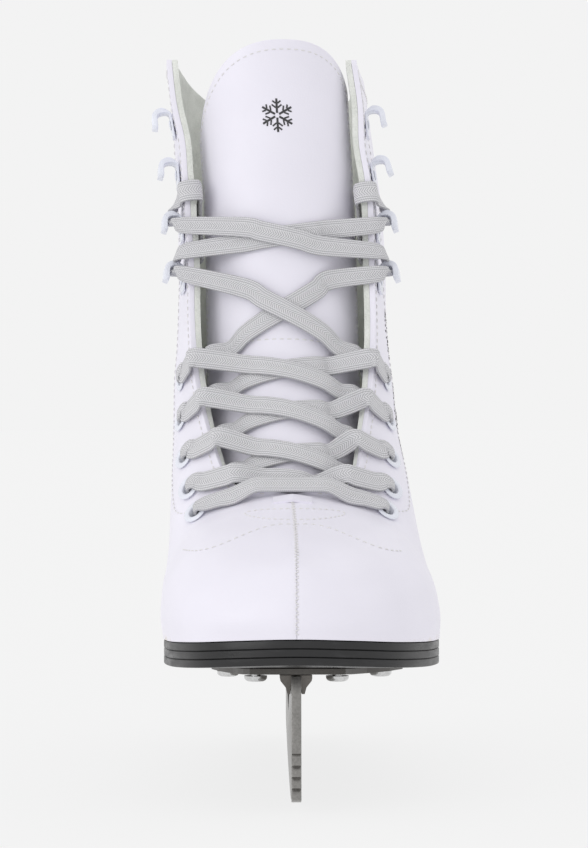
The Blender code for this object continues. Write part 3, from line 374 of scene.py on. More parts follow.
def tongue_angle(s):
    return math.radians(56 + 23 * ramp(0.0, 0.42, s))


def tongue_radius(s):
    return TONGUE_R - 10 * (1 - ramp(0.02, 0.36, s))


def tongue_point(s, phi, depth):
    """Point on the tongue: s from base to top, phi the arc angle, depth under the face."""
    (t, z), (dt, dz) = tongue_line(s)
    full = tongue_radius(s)
    back = full - (full - depth) * math.cos(phi)
    t, z = t + dz * back, z - dt * back
    x = float(np.interp(z, TONGUE_Z, TONGUE_X))
    return np.array((x + (full - depth) * math.sin(phi), t - BALL_T, z))


def tongue_normal(s, phi):
    return unit(tongue_point(s, phi, 0.0) - tongue_point(s, phi, 1.0))


def tongue_fall(q):
    """Share of the tongue's length by which its rounded top falls away at q (-1 to 1)."""
    return TONGUE_ROUND * (abs(q - TONGUE_PEAK) / (1 + TONGUE_PEAK)) ** 2.4


def foam_depth(s):
    return 1.3 + GAP + 0.2, 1.2 + 3.3 * ramp(0.0, 0.16, s)


def tongue_lining_depth(s):
    base, thick = foam_depth(s)
    return base + thick + GAP, 1.0


FEATHER_US = [0.6 * i for i in range(10)] + [round(6 + i * 0.66667, 4) for i in range(13)]


def feather_z(t):
    """Height of the feather line at distance t behind the toe tip."""
    pts = [half_point(u, 0.0) for u in FEATHER_US]
    return float(np.interp(t, [p[1] for p in pts], [p[2] for p in pts]))


def sole_bottom(t):
    return feather_z(t) - GAP - SOLE_T


def half_widths(t):
    """Medial and lateral edges of the outsole at distance t."""
    edges = []
    for side in (-1, 1):
        rim = np.array([skin(side, u, 0.0, 0.0) for u in spaced(0, CORNER, 90)])
        edges.append(float(np.interp(t - BALL_T, rim[:, 1], rim[:, 0])))
    return edges


def rocker_z(t):
    back = (t - BALL_T) ** 2 / (2 * ROCKER_R)
    front = 0.0 if t > 60 else (60 - t) ** 2 / 900.0
    flat = 0.0 if abs(t - BALL_T) <= 10 else back
    return flat + front


def blade_roof(t):
    """Height of the blade's top edge where it sits in the mounts."""
    if t > 150:
        return 44.0
    return float(np.interp(t, (30, 104), (40.2, 39.0)))


def front_roof(t):
    return sole_bottom(t) - GAP - PLATE_T - GAP


def blade_outline():
    """Side view of the blade as (distance behind toe tip, height)."""
    pts = [(13.0, 19.8)]
    for z in TOOTH_TOPS:
        pts += [(14.2, z), (12.0, z - TOOTH_DROP)]
    pts += [(13.8, 3.5), (16.5, 2.8), (20.5, 3.3), (23.5, 5.2), (27.0, 2.9)]
    pts += [(t, rocker_z(t)) for t in (32, 40, 50, 60, 72, 85, 95, 105)]
    pts += [(t, rocker_z(t)) for t in range(118, 262, 12)]
    pts += [(263, 7.0), (266.5, 8.6), (267.5, 12.5), (266, 17.0), (262, 21.0)]
    pts += [(254, 27.0), (250, 34.0), (249, 44.0)]
    pts += [(198, 44.0), (196, 36.0), (189, 28.5), (178, 24.5), (160, 22.5), (140, 22.5)]
    pts += [(122, 24.5), (112, 29.0), (106, 35.0), (104, 39.0)]
    front, back = BLADE_EAR
    pts += [(back, blade_roof(back)), (back, front_roof(back) - GAP)]
    pts += [(front, front_roof(front) - GAP), (17.2, 38.0), (15.8, 31.0)]
    return pts


HOOK_PATH = (            # hook strip's middle: height off the leather, along the flap, half width
    (0.75, -5.2, 3.2), (0.75, -1.0, 4.2), (0.75, 3.4, 3.6), (1.5, 4.9, 3.0), (3.2, 5.3, 2.7),
    (5.0, 5.1, 2.7), (6.1, 4.2, 2.8), (6.5, 2.4, 3.0), (6.6, 0.2, 2.9), (7.0, -1.2, 2.0))


def key(point, normal, width=LACE_W):
    return (np.array(point, float), np.array(normal, float), float(width))


OUT, IN, AFT = (0, 1, 0), (0, -1, 0), (-1, 0, 0)  # facings of the lace in a spot's directions


def keys_at(spot, *rows):
    """Lace keys by a spot. Each row gives offset and facing as (inboard, out, up), and width."""
    axes = np.array((spot.a, spot.n, spot.e))
    return [key(spot.p + np.array(place) @ axes, np.array(facing) @ axes, *width)
            for place, facing, *width in rows]


def eyelet_keys(side, index):
    """Lace keys going over the flap edge, down through an eyelet and back under the flap."""
    u, d = eyelet_spots(side)[index]
    out = keys_at(flap_frame(side, u - 0.1, 0.0), ((5.0, 0.9, 0), OUT, 7.2), ((1.0, 2.0, 0), OUT))
    out += keys_at(flap_frame(side, u - 0.05, d * 0.52), ((0, 1.5, 0), OUT))
    top = EYELET_LIFT[index] - 0.4
    out += keys_at(
        flap_frame(side, u, d),
        ((4.6, 1.9 + top, 0), OUT, 6.6), ((1.9, 2.15 + top, 0), OUT, 4.9),
        ((0.55, 1.6 + top, 0), (-1, 1, 0), 4.2), ((0, 0.3, 0), AFT, 4.1), ((0, -2.4, 0), AFT, 4.1),
        ((0, -4.8, 0), AFT, 4.1), ((0.55, -6.1, 0), (-1, -1, 0), 4.2), ((1.9, -6.65, 0), IN, 4.9),
        ((5.0, -6.6, 0), IN, 6.4))
    leave = 6.35 - u if index == 0 else 0.2
    out += keys_at(flap_frame(side, u + leave * 0.6, d * 0.45), ((0, -6.5, 0), IN))
    if index > 0:
        return out + keys_at(flap_frame(side, u + leave, 0.0), ((0, -6.4, 0), IN, 7.4))
    return out + [key((side * 15.0 - 1.0, -7.5, 105.8), (side * 0.4, -0.66, 0.6), 6.0)]


def over_tongue(side, start, end, lift):
    """Keys across the tongue between two points on its opposite sides."""
    near, far = (min(1.0, abs(p[0] - float(np.interp(p[2], TONGUE_Z, TONGUE_X))) / reach)
                 for p, reach in ((start, 26), (end, 28)))
    s0 = max(tongue_near(start, 18 * near * side), 0.155)
    s1 = max(tongue_near(end, 16 * far * -side), 0.17)
    steps = [(19, 0.04), (13.6, 0.2), (6.7, 0.36), (0, 0.5), (-6.7, 0.64), (-12.7, 0.78)]
    if s0 < 0.16:
        steps = steps[1:]
    if not lift and s1 > 0.2:
        steps.append((-17, 0.9))
    out = []
    for width, share in steps:
        s = s0 + (s1 - s0) * share
        ang = tongue_arc(s, width * side * (near if width > 0 else far))
        rise = LACE_T / 2 + GAP + 0.45
        if lift and (width < 7 or s0 > 0.16):
            rise += LACE_T + GAP
        rise += 0.35 if abs(width) > 10 else 0.0
        rise += 0.3 if s < 0.2 else 0.0
        out.append(key(tongue_point(s, ang, -rise), tongue_normal(s, ang), 7.2))
    return out


def tongue_arc(s, width):
    """Arc angle of the tongue point at a sideways distance from its centre line."""
    return math.asin(max(-0.97, min(0.97, width / tongue_radius(s))))


def tongue_near(point, width):
    """Tongue parameter whose point at a sideways distance is closest to a point."""
    return min((i / 100 for i in range(101)), key=lambda s: np.linalg.norm(
        tongue_point(s, tongue_arc(s, width), 0.0) - point))


def hook_entry(side, index):
    """Lace keys entering a hook's mouth and rounding the back of its web, and its two spots."""
    u, d = hook_spots(side)[index]
    f = flap_frame(side, u, d)
    rim = flap_frame(side, u, 0.0)
    edge = Spot(rim.p, f.n, rim.a, f.e)
    out = keys_at(edge, ((1.0, 2.2, -1.8), OUT, 6.0)) + keys_at(
        f, ((5.6, 3.1, 0.8), (0, 0.6, -1), 4.4), ((1.5, 3.75, 2.4), (0, 0, -1), 3.6),
        ((-2.8, 3.75, 2.9), (-0.4, 0, -1), 3.6), ((-4.8, 3.75, 5.2), AFT, 3.6))
    return out, f, edge


def hook_keys(side, index):
    """Lace keys passing through the hook's mouth, round its back and away inboard."""
    out, f, edge = hook_entry(side, index)
    out += keys_at(f, ((-3.0, 3.4, 7.4), (-0.5, 0, 1), 3.7), ((1.5, 2.9, 8.0), (0, 0.8, 1), 4.4))
    return out + keys_at(edge, ((1.0, 2.2, 7.2), OUT, 6.0))


def tail_keys(side, index):
    """Lace keys rising behind the last laced hook, over the flap edge and down inside."""
    def flap_at(z, d):
        return flap_frame(side, spot_at(side, z, d), d)

    z = HOOK_Z[index]
    out, f, _ = hook_entry(side, index)
    out += keys_at(f, ((-3.4, 3.3, 8.0), (-0.6, 0, 1), 3.7), ((0.6, 2.5, 9.8), (0, 1, 0.6), 5.4))
    out += keys_at(flap_at(z + 12.0, 4.2), ((0, 1.35, 0), OUT, 7.0))
    turn = flap_at(z + 13.5, 0.0)
    out += keys_at(turn, ((0.2, 1.45, 0), (0.2, 1, 0)), ((2.2, -0.2, 0), (1, 0.4, 0)),
                   ((2.5, -3.6, 0), (1, -0.3, 0)), ((0.6, -6.4, 0), (0.3, -1, 0)))
    for dist, drop in ((5.0, 3.0), (8.0, 10.0), (8.0, 18.0), (8.0, 26.0)):
        out += keys_at(flap_at(turn.p[2] - drop, dist), ((0, -6.3, 0), IN))
    return out


def half_lace(start):
    """Keys of one half of the lace, from its first eyelet to the tucked tail."""
    out = []
    side = start
    for i in range(5):
        out += eyelet_keys(side, i)[(4 if i == 0 else 0):]
        ahead = eyelet_keys(-side, i + 1) if i < 4 else hook_keys(-side, 0)
        out += over_tongue(side, out[-1][0], ahead[0][0], side > 0)
        side = -side
    out += hook_keys(side, 0)
    ahead = tail_keys(-side, 1)
    out += over_tongue(side, out[-1][0], ahead[0][0], side > 0)[1:]
    out += ahead
    return out


def bar_keys():
    """Keys of the first straight bar, from the medial eyelet to the lateral one."""
    out = []
    for side in (-1, 1):
        u, _ = eyelet_spots(side)[0]
        part = []
        for dist, rise in ((22.0, 2.3), (16.5, 2.2), (11.0, 2.6)):
            part += keys_at(flap_frame(side, u, dist), ((0, rise, 0), OUT, 6.8))
        part.append(key((side * 13.5 - 1.0, -16.8, 110.0), (side * 0.3, -0.7, 0.66), 6.8))
        part.append(key((side * 6.0 - 1.0, -17.3, 110.3), (side * 0.12, -0.7, 0.7), 6.8))
        out += part if side < 0 else part[::-1]
    return out


def lace_keys():
    return half_lace(-1)[::-1] + bar_keys() + half_lace(1)


def smooth_keys(keys, spacing):
    """Catmull-Rom samples through the keys, with the normals and widths turned evenly."""
    pos = with_ends([k[0] for k in keys])
    rest = [np.array((*unit(k[1]), k[2])) for k in keys]
    samples = []
    for i in range(len(keys) - 1):
        count = max(1, int(round(np.linalg.norm(pos[i + 2] - pos[i + 1]) / spacing)))
        for t in (j / count for j in range(count)):
            turn = rest[i] * (1 - t) + rest[i + 1] * t
            samples.append((weights(t) @ pos[i:i + 4], turn[:3], turn[3]))
    return samples + [(pos[-2], rest[-1][:3], rest[-1][3])]


def consistent(keys):
    """Flip normals where the lace face would otherwise swap over between two keys."""
    out = [keys[0]]
    for p, n, w in keys[1:]:
        prev = out[-1][1]
        out.append((p, -n if np.dot(n, prev) < 0 else n, w))
    return out


FRONT_DRILL = (30.0, 53.1)  # heights between which the sole's blind screw holes are drilled
HEEL_DRILL = (40.0, 64.0)
FRONT_SCREWS = ((-14, 35), (14.5, 35), (-24, 72), (31, 72), (-16, 98), (19, 98))
HEEL_SCREWS = ((-15, 204), (15, 204), (-13, 243), (13, 243))


# ---------------------------------------------------------------- mesh pieces

RIM_BEVEL = 0.45         # rounding of cut leather and plush edges
FINE_U = 0.1             # station step of the fine boot surfaces
FINE_V = 0.1             # rail step of the same surfaces
SEAM_SHOWN = 0.06        # half gap left showing at the stitched seams
PLUSH_LIFT = 0.2         # the plush drawn this much nearer the leather than its solid
KEPT_SHARP = 35.0        # angle in degrees from which a kept CAD node's edges stay sharp


def add_object(name, data):
    obj = bpy.data.objects.new(name, data)
    bpy.context.scene.collection.objects.link(obj)
    return obj


def new_mesh(name, verts, faces):
    bm = bmesh.new()
    made = [bm.verts.new(np.array(p) * MM) for p in verts]
    for face in faces:
        bm.faces.new([made[i] for i in face])
    bmesh.ops.recalc_face_normals(bm, faces=bm.faces)
    mesh = bpy.data.meshes.new(name)
    bm.to_mesh(mesh)
    bm.free()
    return add_object(name, mesh)


def dress(obj, mat, sharp):
    """Give a piece one material and smooth faces that stay sharp past an angle."""
    obj.data.materials.clear()
    obj.data.materials.append(mat)
    for poly in obj.data.polygons:
        poly.use_smooth = True
        poly.material_index = 0
    obj.data.set_sharp_from_angle(angle=math.radians(sharp))


def bake(obj):
    """Apply the modifiers that are on the object."""
    bpy.context.view_layer.update()
    deps = bpy.context.evaluated_depsgraph_get()
    mesh = bpy.data.meshes.new_from_object(obj.evaluated_get(deps))
    obj.modifiers.clear()
    obj.data = mesh


def soften(obj, width, segments, angle):
    """Put a bevel on the edges sharper than an angle."""
    mod = obj.modifiers.new("edge", "BEVEL")
    mod.width = width * MM
    mod.segments = segments
    mod.limit_method = "ANGLE"
    mod.angle_limit = math.radians(angle)


def bevel(obj, width, segments=2, angle=40.0):
    soften(obj, width, segments, angle)
    bake(obj)


def cut(obj, tool):
    mod = obj.modifiers.new("hole", "BOOLEAN")
    mod.operation = "DIFFERENCE"
    mod.solver = "EXACT"
    mod.object = tool
    bake(obj)
    bpy.data.objects.remove(tool, do_unlink=True)


def finish_piece(obj, mat, nodes=(), body="boot", sharp=40.0):
    dress(obj, mat, sharp)
    if nodes:
        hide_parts(*nodes)
    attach(obj, body)


def joined(parts):
    """Several (verts, faces) pairs as one."""
    verts = []
    faces = []
    for vs, fs in parts:
        base = len(verts)
        verts += list(vs)
        faces += [tuple(base + i for i in f) for f in fs]
    return verts, faces


# ---------------------------------------------------------------- materials

class Nodes:
    """Short calls for building one procedural material."""

    def __init__(self, name, colour, rough, metal=0.0):
        self.mat = bpy.data.materials.new(name)
        self.mat.use_nodes = True
        self.tree = self.mat.node_tree
        self.bsdf = self.tree.nodes["Principled BSDF"]
        self.put(self.bsdf, ("Base Color", (*colour, 1.0)), ("Roughness", rough),
                 ("Metallic", metal))
        self.mat.diffuse_color = (*colour, 1.0)
        self.colour = colour

    def put(self, node, *values):
        """Set a node's inputs, each to a value or to another node's output."""
        for name, value in values:
            if isinstance(value, bpy.types.NodeSocket):
                self.tree.links.new(value, node.inputs[name])
            else:
                node.inputs[name].default_value = value

    def add(self, kind, *values, **props):
        node = self.tree.nodes.new(kind)
        for prop, value in props.items():
            setattr(node, prop, value)
        self.put(node, *values)
        return node

    def place(self, stretch=(1, 1, 1), output="Object"):
        where = self.add("ShaderNodeTexCoord").outputs[output]
        return self.add("ShaderNodeMapping", ("Scale", stretch), ("Vector", where)).outputs[0]

    def noise(self, where, scale, detail=3.0, rough=0.5):
        return self.add("ShaderNodeTexNoise", ("Scale", scale), ("Detail", detail),
                        ("Roughness", rough), ("Vector", where)).outputs["Fac"]

    def cells(self, where, scale):
        return self.add("ShaderNodeTexVoronoi", ("Scale", scale), ("Vector", where),
                        feature="SMOOTH_F1").outputs["Distance"]

    def math(self, op, *values, clamp=False):
        node = self.add("ShaderNodeMath", *enumerate(values), operation=op, use_clamp=clamp)
        return node.outputs[0]

    def blend(self, a, share_a, b, share_b):
        """a * share_a + b * share_b"""
        return self.math("MULTIPLY_ADD", a, share_a, self.math("MULTIPLY", b, share_b))

    def axes(self, where):
        return self.add("ShaderNodeSeparateXYZ", (0, where)).outputs

    def span(self, value, lo, hi, out_lo=0.0, out_hi=1.0):
        ends = zip(("From Min", "From Max", "To Min", "To Max"), (lo, hi, out_lo, out_hi))
        return self.add("ShaderNodeMapRange", ("Value", value), *ends).outputs["Result"]

    def tint(self, factor, low, high):
        ends = [(*c, 1.0) if isinstance(c, tuple) else c for c in (low, high)]
        return self.add("ShaderNodeMix", ("Factor", factor), *enumerate(ends, 6),
                        data_type="RGBA").outputs[2]

    def paint(self, colour):
        self.put(self.bsdf, ("Base Color", colour))

    def roughen(self, value):
        self.put(self.bsdf, ("Roughness", value))

    def bump(self, height, depth_mm, strength=1.0, under=None):
        node = self.add("ShaderNodeBump", ("Distance", depth_mm * MM), ("Strength", strength),
                        ("Height", height))
        if under is not None:
            self.put(node, ("Normal", under))
        self.put(self.bsdf, ("Normal", node.outputs["Normal"]))
        return node.outputs["Normal"]


def scaled(colour, factor):
    return tuple(min(1.0, c * factor) for c in colour)


def leather_material():
    m = Nodes("white leather", (0.84, 0.82, 0.905), 0.42)
    m.put(m.bsdf, ("Specular IOR Level", 0.42))
    where = m.place()
    grain = m.blend(m.cells(where, 1500), 1.0, m.noise(where, 3800), 0.5)
    soft = m.noise(where, 38, 2.0)
    m.bump(grain, 0.035, 0.7, m.bump(soft, 0.5, 0.35))
    low_edge = m.math("SUBTRACT", 1.0, m.span(m.axes(where)["Z"], 0.054, 0.058))
    soil = m.math("MULTIPLY", low_edge, m.span(m.noise(where, 160), 0.5, 0.72), clamp=True)
    clean = m.tint(m.span(soft, 0.3, 0.7), scaled(m.colour, 0.98), scaled(m.colour, 1.01))
    m.paint(m.tint(soil, clean, (0.66, 0.58, 0.45)))
    m.roughen(m.span(m.noise(where, 240), 0.3, 0.7, 0.38, 0.48))
    return m.mat


def plush_material():
    m = Nodes("greenish white plush", (0.74, 0.76, 0.71), 0.95)
    m.put(m.bsdf, ("Sheen Weight", 0.5), ("Sheen Roughness", 0.4))
    where = m.place()
    pile = m.math("ADD", m.noise(where, 1300, 4.0, 0.7), m.noise(where, 130, 3.0))
    m.paint(m.tint(m.span(pile, 0.7, 1.3), (0.68, 0.70, 0.655), (0.87, 0.885, 0.845)))
    m.bump(pile, 0.5, 0.8)
    return m.mat


def foam_material():
    m = Nodes("foam", (0.82, 0.80, 0.73), 0.95)
    where = m.place()
    pores = m.cells(where, 1800)
    m.paint(m.tint(pores, scaled(m.colour, 0.86), m.colour))
    m.bump(pores, 0.2, 0.6)
    return m.mat


def fine_grained(name, colour, rough, low, high, grain, relief, stretch=(1, 1, 1)):
    """Plain material with one fine noise in its colour and its relief."""
    m = Nodes(name, colour, rough)
    tone = m.noise(m.place(stretch), *grain)
    m.paint(m.tint(tone, low, high))
    m.bump(tone, *relief)
    return m.mat


def sole_material():
    m = Nodes("black sole", (0.016, 0.016, 0.018), 0.3)
    where = m.place((1, 1, 4))
    scuff = m.noise(where, 90, 6.0, 0.65)
    m.paint(m.tint(m.span(scuff, 0.52, 0.8), (0.009, 0.009, 0.010), (0.028, 0.028, 0.030)))
    m.roughen(m.span(scuff, 0.3, 0.75, 0.24, 0.5))
    m.bump(m.noise(where, 420, 3.0), 0.06, 0.5)
    return m.mat


def steel_material(name, colour, low, high, stretch, streaks=1200):
    """Brushed steel: fine lines drawn out along one axis, with slight staining."""
    m = Nodes(name, colour, (low + high) / 2, 1.0)
    lines = m.noise(m.place(stretch), streaks, 3.0, 0.6)
    tone = m.blend(lines, 0.6, m.noise(m.place(), 70, 4.0), 0.4)
    m.paint(m.tint(m.span(tone, 0.35, 0.65), scaled(colour, 0.78), scaled(colour, 1.15)))
    m.roughen(m.span(tone, 0.3, 0.7, low, high))
    m.bump(lines, 0.02, 0.6)
    return m.mat


def paint_material():
    m = Nodes("white painted metal", (0.80, 0.82, 0.90), 0.3)
    m.put(m.bsdf, ("Coat Weight", 0.35), ("Coat Roughness", 0.15))
    where = m.place()
    peel = m.noise(where, 900, 2.0)
    m.paint(m.tint(m.span(m.noise(where, 260), 0.3, 0.7), scaled(m.colour, 0.95), m.colour))
    m.roughen(m.span(peel, 0.3, 0.7, 0.24, 0.38))
    m.bump(peel, 0.05, 0.5)
    return m.mat


def lace_material():
    """Flat braid: chevrons in the middle, cords along both edges, pitch in real millimetres."""
    m = Nodes("woven lace", (0.66, 0.66, 0.68), 0.85)
    m.put(m.bsdf, ("Sheen Weight", 0.25))
    axes = m.axes(m.place(output="UV"))
    along, across = axes["X"], m.math("ABSOLUTE", axes["Y"])
    slant = m.blend(along, 6.6, across, 5.4)
    chevron = m.math("MULTIPLY_ADD", m.math("SINE", slant), 0.5, 0.5)
    cords = m.math("COSINE", m.math("MULTIPLY", across, 7.4))
    ribs = m.math("MULTIPLY_ADD", cords, 0.5, 0.5)
    ticks = m.math("SINE", m.blend(along, 8.5, across, 3.0))
    edge = m.span(across, 1.25, 1.6)
    middle = m.math("SUBTRACT", 1.0, edge)
    weave = m.blend(chevron, middle, m.blend(ribs, 0.75, ticks, 0.16), edge)
    # The weave's low grooves are painted darker than its ridges: painted shade in the braid's
    # recesses, on top of the bump that gives them their relief
    m.paint(m.tint(m.span(weave, 0.05, 0.85), (0.44, 0.44, 0.46), (0.78, 0.775, 0.80)))
    m.bump(weave, 0.2, 0.9, m.bump(m.noise(m.place(), 5200, 2.0), 0.05, 0.5))
    return m.mat


# ---------------------------------------------------------------- boot surfaces

def fine_grid(side):
    """Points and normals of one half boot at the fine step."""
    us = spaced(0.0, LAST, int(LAST / FINE_U) + 1)
    vs = spaced(0.0, 4.0, int(4 / FINE_V) + 1)
    points = np.array([[skin(side, u, v, SEAM_SHOWN) for v in vs] for u in us])
    normals = np.array([[skin_normal(side, u, v) for v in vs] for u in us])
    return us, vs, points, normals


def fine_shell(grid, depth_of, thick_of):
    us, vs, points, normals = grid
    depth, thick = (np.array([[value(u, v) for v in vs] for u in us])[..., None]
                    for value in (depth_of, thick_of))
    return shell(points - normals * depth, points - normals * (depth + thick))


def plush_depth(u, v):
    return lining_depth(u, v) - PLUSH_LIFT


def hole_tool(side, hooks):
    """Cutter for a half boot's eyelet holes, and for its hook holes where they are wanted."""
    spots = [(u, d, EYELET_OUT_R + GAP) for u, d in eyelet_spots(side)]
    if hooks:
        spots += [(u, d, HOOK_BORE_R) for u, d in hook_spots(side)]
    parts = []
    for u, d, r in spots:
        f = flap_frame(side, u, d)
        parts.append(turned([(r, 0.0), (r, 12.0)], f.p - f.n * 8.0, f.n, 24))
    return new_mesh("hole cutter", *joined(parts))


def build_boot(m):
    layers = (
        ("leather", "upper", "white_leather", lambda u, v: 0.0, lambda u, v: LEATHER_T),
        ("plush", "lining", "plush_lining", plush_depth, lining_thickness),
    )
    for side, tag in ((-1, "medial"), (1, "lateral")):
        grid = fine_grid(side)
        for name, node, slot_name, depth_of, thick_of in layers:
            obj = new_mesh("%s_%s" % (name, tag), *fine_shell(grid, depth_of, thick_of))
            bevel(obj, RIM_BEVEL)
            cut(obj, hole_tool(side, hooks=node == "upper"))
            finish_piece(obj, m[name], ["%s_%s" % (node, tag)], sharp=50)


def repaint(node, mat, edge):
    """Give a kept CAD node its fine material and a small rounded edge."""
    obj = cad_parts[node]
    dress(obj, mat, KEPT_SHARP)
    if edge:
        soften(obj, edge, 2, KEPT_SHARP)


# ---------------------------------------------------------------- tongue

def tongue_sheet(rows, cols, depth_of, inset):
    """The tongue's layer between two depths, at a finer step than the CAD."""
    def face(under):
        grid = []
        for share in spaced(0, 1, rows):
            row = []
            for q in spaced(-1, 1, cols):
                s = share * (1 - inset - tongue_fall(q))
                base, thick = depth_of(s)
                phi = q * (tongue_angle(s) - inset * 2.0)
                row.append(tongue_point(s, phi, base + thick * under))
            grid.append(row)
        return np.array(grid)

    return shell(face(0), face(1))


def build_tongue(m):
    layers = (
        ("tongue_face", lambda s: (0.0, 1.3), 0.0, "leather", "white_leather", "tongue_outer", 0.4),
        ("tongue_padding", foam_depth, 0.012, "foam", "foam", "tongue_foam", 1.0),
        ("tongue_plush", tongue_lining_depth, 0.006, "plush", "plush_lining", "tongue_lining", 0.3),
    )
    for name, depth_of, inset, mat, slot_name, node, edge in layers:
        obj = new_mesh(name, *tongue_sheet(90, 46, depth_of, inset))
        bevel(obj, edge, 3, 50)
        finish_piece(obj, m[mat], [node], body="tongue", sharp=50)


# ---------------------------------------------------------------- stitches

STITCH_LONG = 2.0        # visible length of one stitch
STITCH_PITCH = 2.9       # distance between stitch starts
THREAD_R = 0.24          # thread radius
SEAM_REACH = 0.8         # reach of the centre seam's stitches to each side
SEAM_STITCH_PITCH = 1.3  # distance between the centre seam's stitches
STAY_T = 1.2             # back stay thickness
FLAP_ROWS = ((0.6, 110, 2.4), (1.0, 90, 27.0))  # start past the throat, samples, from the edge


CAPSULE = (              # place along a stitch, lift and share of the radius
    (0.0, -0.25, 0.4), (0.15, 0.0, 0.9), (0.5, 0.14, 1.0), (0.85, 0.0, 0.9), (1.0, -0.25, 0.4))


def capsule(a, b, normal, radius):
    """One stitch: a tube from a to b whose ends dip into the surface."""
    side = unit(np.cross(unit(b - a), normal))
    arms = [side * math.cos(ang) + normal * math.sin(ang) for ang in
            (math.tau * k / 6 for k in range(6))]
    return rings_solid([[a + (b - a) * share + normal * lift + arm * radius * size for arm in arms]
                        for share, lift, size in CAPSULE])


def travelled(points):
    """Distance along a line at each of its points."""
    return np.concatenate(([0.0], np.cumsum(np.linalg.norm(np.diff(points, axis=0), axis=1))))


def on_line(at, place, rows):
    return np.array([np.interp(at, place, rows[:, k]) for k in range(3)])


def stitch_line(spots, long=STITCH_LONG, pitch=STITCH_PITCH):
    """Stitches at an even pitch along a line of surface points and normals."""
    points, normals = (np.array(rows) for rows in zip(*spots))
    place = travelled(points)
    parts = []
    for start in np.arange(0.0, place[-1] - long, pitch):
        a, b = (on_line(at, place, points) for at in (start, start + long))
        n = on_line(start + long / 2, place, normals)
        parts.append(capsule(a, b, unit(n), THREAD_R))
    return parts


def on_vamp(x, z):
    """Point and normal of the front surface at a sideways place and a height."""
    side = 1 if x >= -0.5 else -1
    e = 0.02
    u, v = 4.6, 3.6
    for _ in range(14):
        here = skin(side, u, v)
        du = (skin(side, u + e, v) - here) / e
        dv = (skin(side, u, v + e) - here) / e
        jac = np.array(((du[0], dv[0]), (du[2], dv[2])))
        want = np.array((x - here[0], z - here[2]))
        step = np.linalg.lstsq(jac, want, rcond=None)[0]
        u = min(max(u + 0.7 * float(step[0]), 0.2), 9.0)
        v = min(max(v + 0.7 * float(step[1]), 1.0), 3.98)
    return skin_spot(side, u, v)


VAMP_TOP = 97.0          # height of the vamp seam on the centre line
VAMP_DROP = 9.5          # how far it falls towards the sides
BAR_TACK = (18.0, 1.8, 100.2)   # half length, half height and height of the oval tack


def vamp_seam():
    return [on_vamp(x, VAMP_TOP - VAMP_DROP * ramp(4, 38, abs(x))) for x in spaced(-40.0, 38.0, 60)]


def bar_tack():
    half, tall, height = BAR_TACK
    return [on_vamp(half * math.cos(a), height + tall * math.sin(a)) for a in
            (math.tau * k / 64 for k in range(65))]


def toe_seam_parts():
    """Slanted stitches down the centre seam to the toe's foot, leaning left and right in turn."""
    path = [(u, 4.0) for u in spaced(4.95, 0.25, 300)] + [(0.0, v) for v in spaced(3.6, 0.15, 200)]
    spots = [skin_spot(1, u, v, 0.0, 0.0) for u, v in path]
    points, normals = (np.array(rows) for rows in zip(*spots))
    place = travelled(points)
    parts = []
    for k, at in enumerate(np.arange(0.3, place[-1] - 1.2, SEAM_STITCH_PITCH)):
        n = unit(on_line(at, place, normals))
        reach = np.array((SEAM_REACH if k % 2 else -SEAM_REACH, 0.0, 0.0))
        a = on_line(at, place, points) - reach
        b = on_line(at + 1.0, place, points) + reach
        parts.append(capsule(a + n * 0.05, b + n * 0.05, n, 0.2))
    return parts


def tongue_at(dx, z):
    """Tongue face point at a sideways distance from its centre line and a height, and normal."""
    s = solve(lambda x: tongue_point(x, tongue_arc(x, dx), 0.0)[2], z, 0.0, 1.0)
    phi = tongue_arc(s, dx)
    return tongue_point(s, phi, 0.0), tongue_normal(s, phi)


def tongue_edge_line():
    """Row of stitches inside the tongue's rounded top and down both sides."""
    path = [(-0.93, s) for s in spaced(0.5, 0.9, 30)]
    path += [(q, 1.0 - tongue_fall(q) - 0.012) for q in spaced(-0.93, 0.93, 60)]
    path += [(0.93, s) for s in spaced(0.9, 0.5, 30)]
    angles = [(s, q * tongue_angle(s)) for q, s in path]
    return [(tongue_point(s, phi, 0.0), tongue_normal(s, phi)) for s, phi in angles]


CROSS_SEAM_Z = 164.5     # height of the seam across the tongue


def tongue_cross_line():
    return [tongue_at(dx, CROSS_SEAM_Z - 2.5 * (dx / 22) ** 2) for dx in spaced(-22, 22, 40)]


def build_stitches(m):
    parts = stitch_line(vamp_seam()) + stitch_line(bar_tack(), long=1.7, pitch=2.4)
    parts += toe_seam_parts()
    top = LAST - 0.3
    for side in (-1, 1):
        for start, count, distance in FLAP_ROWS:
            us = spaced(THROAT + start, top, count)
            parts += stitch_line([flap_frame(side, u, distance)[:2] for u in us])
        parts += stitch_line([skin_spot(side, LAST - 0.22, v) for v in spaced(0.1, 3.95, 60)])
        parts += stitch_line([skin_spot(side, u, 0.42, GAP + STAY_T, 0.0)
                              for u in spaced(CORNER + 0.5, top, 60)])
    thread = new_mesh("boot_stitching", *joined(parts))
    finish_piece(thread, m["thread"], sharp=60)
    parts = stitch_line(tongue_edge_line()) + stitch_line(tongue_cross_line())
    thread = new_mesh("tongue_stitching", *joined(parts))
    finish_piece(thread, m["thread"], body="tongue", sharp=60)


# ---------------------------------------------------------------- prints

FLAKE_AT = (1.2, 250.0)   # snowflake's place on the tongue: offset from its centre line, height
FLAKE_R = 6.4            # length of its arms


def printed_bar(a, b, width, surface):
    """Thin printed strip on a surface between two points of its own plane."""
    run = unit(b - a)
    across = np.array((-run[1], run[0])) * width / 2
    spots = [[surface(*(a + (b - a) * share + across * side)) for side in (-1, 1)]
             for share in spaced(0, 1, 6)]
    return shell(*(np.array([[p + n * rise for p, n in row] for row in spots])
                   for rise in (0.12, -0.2)))


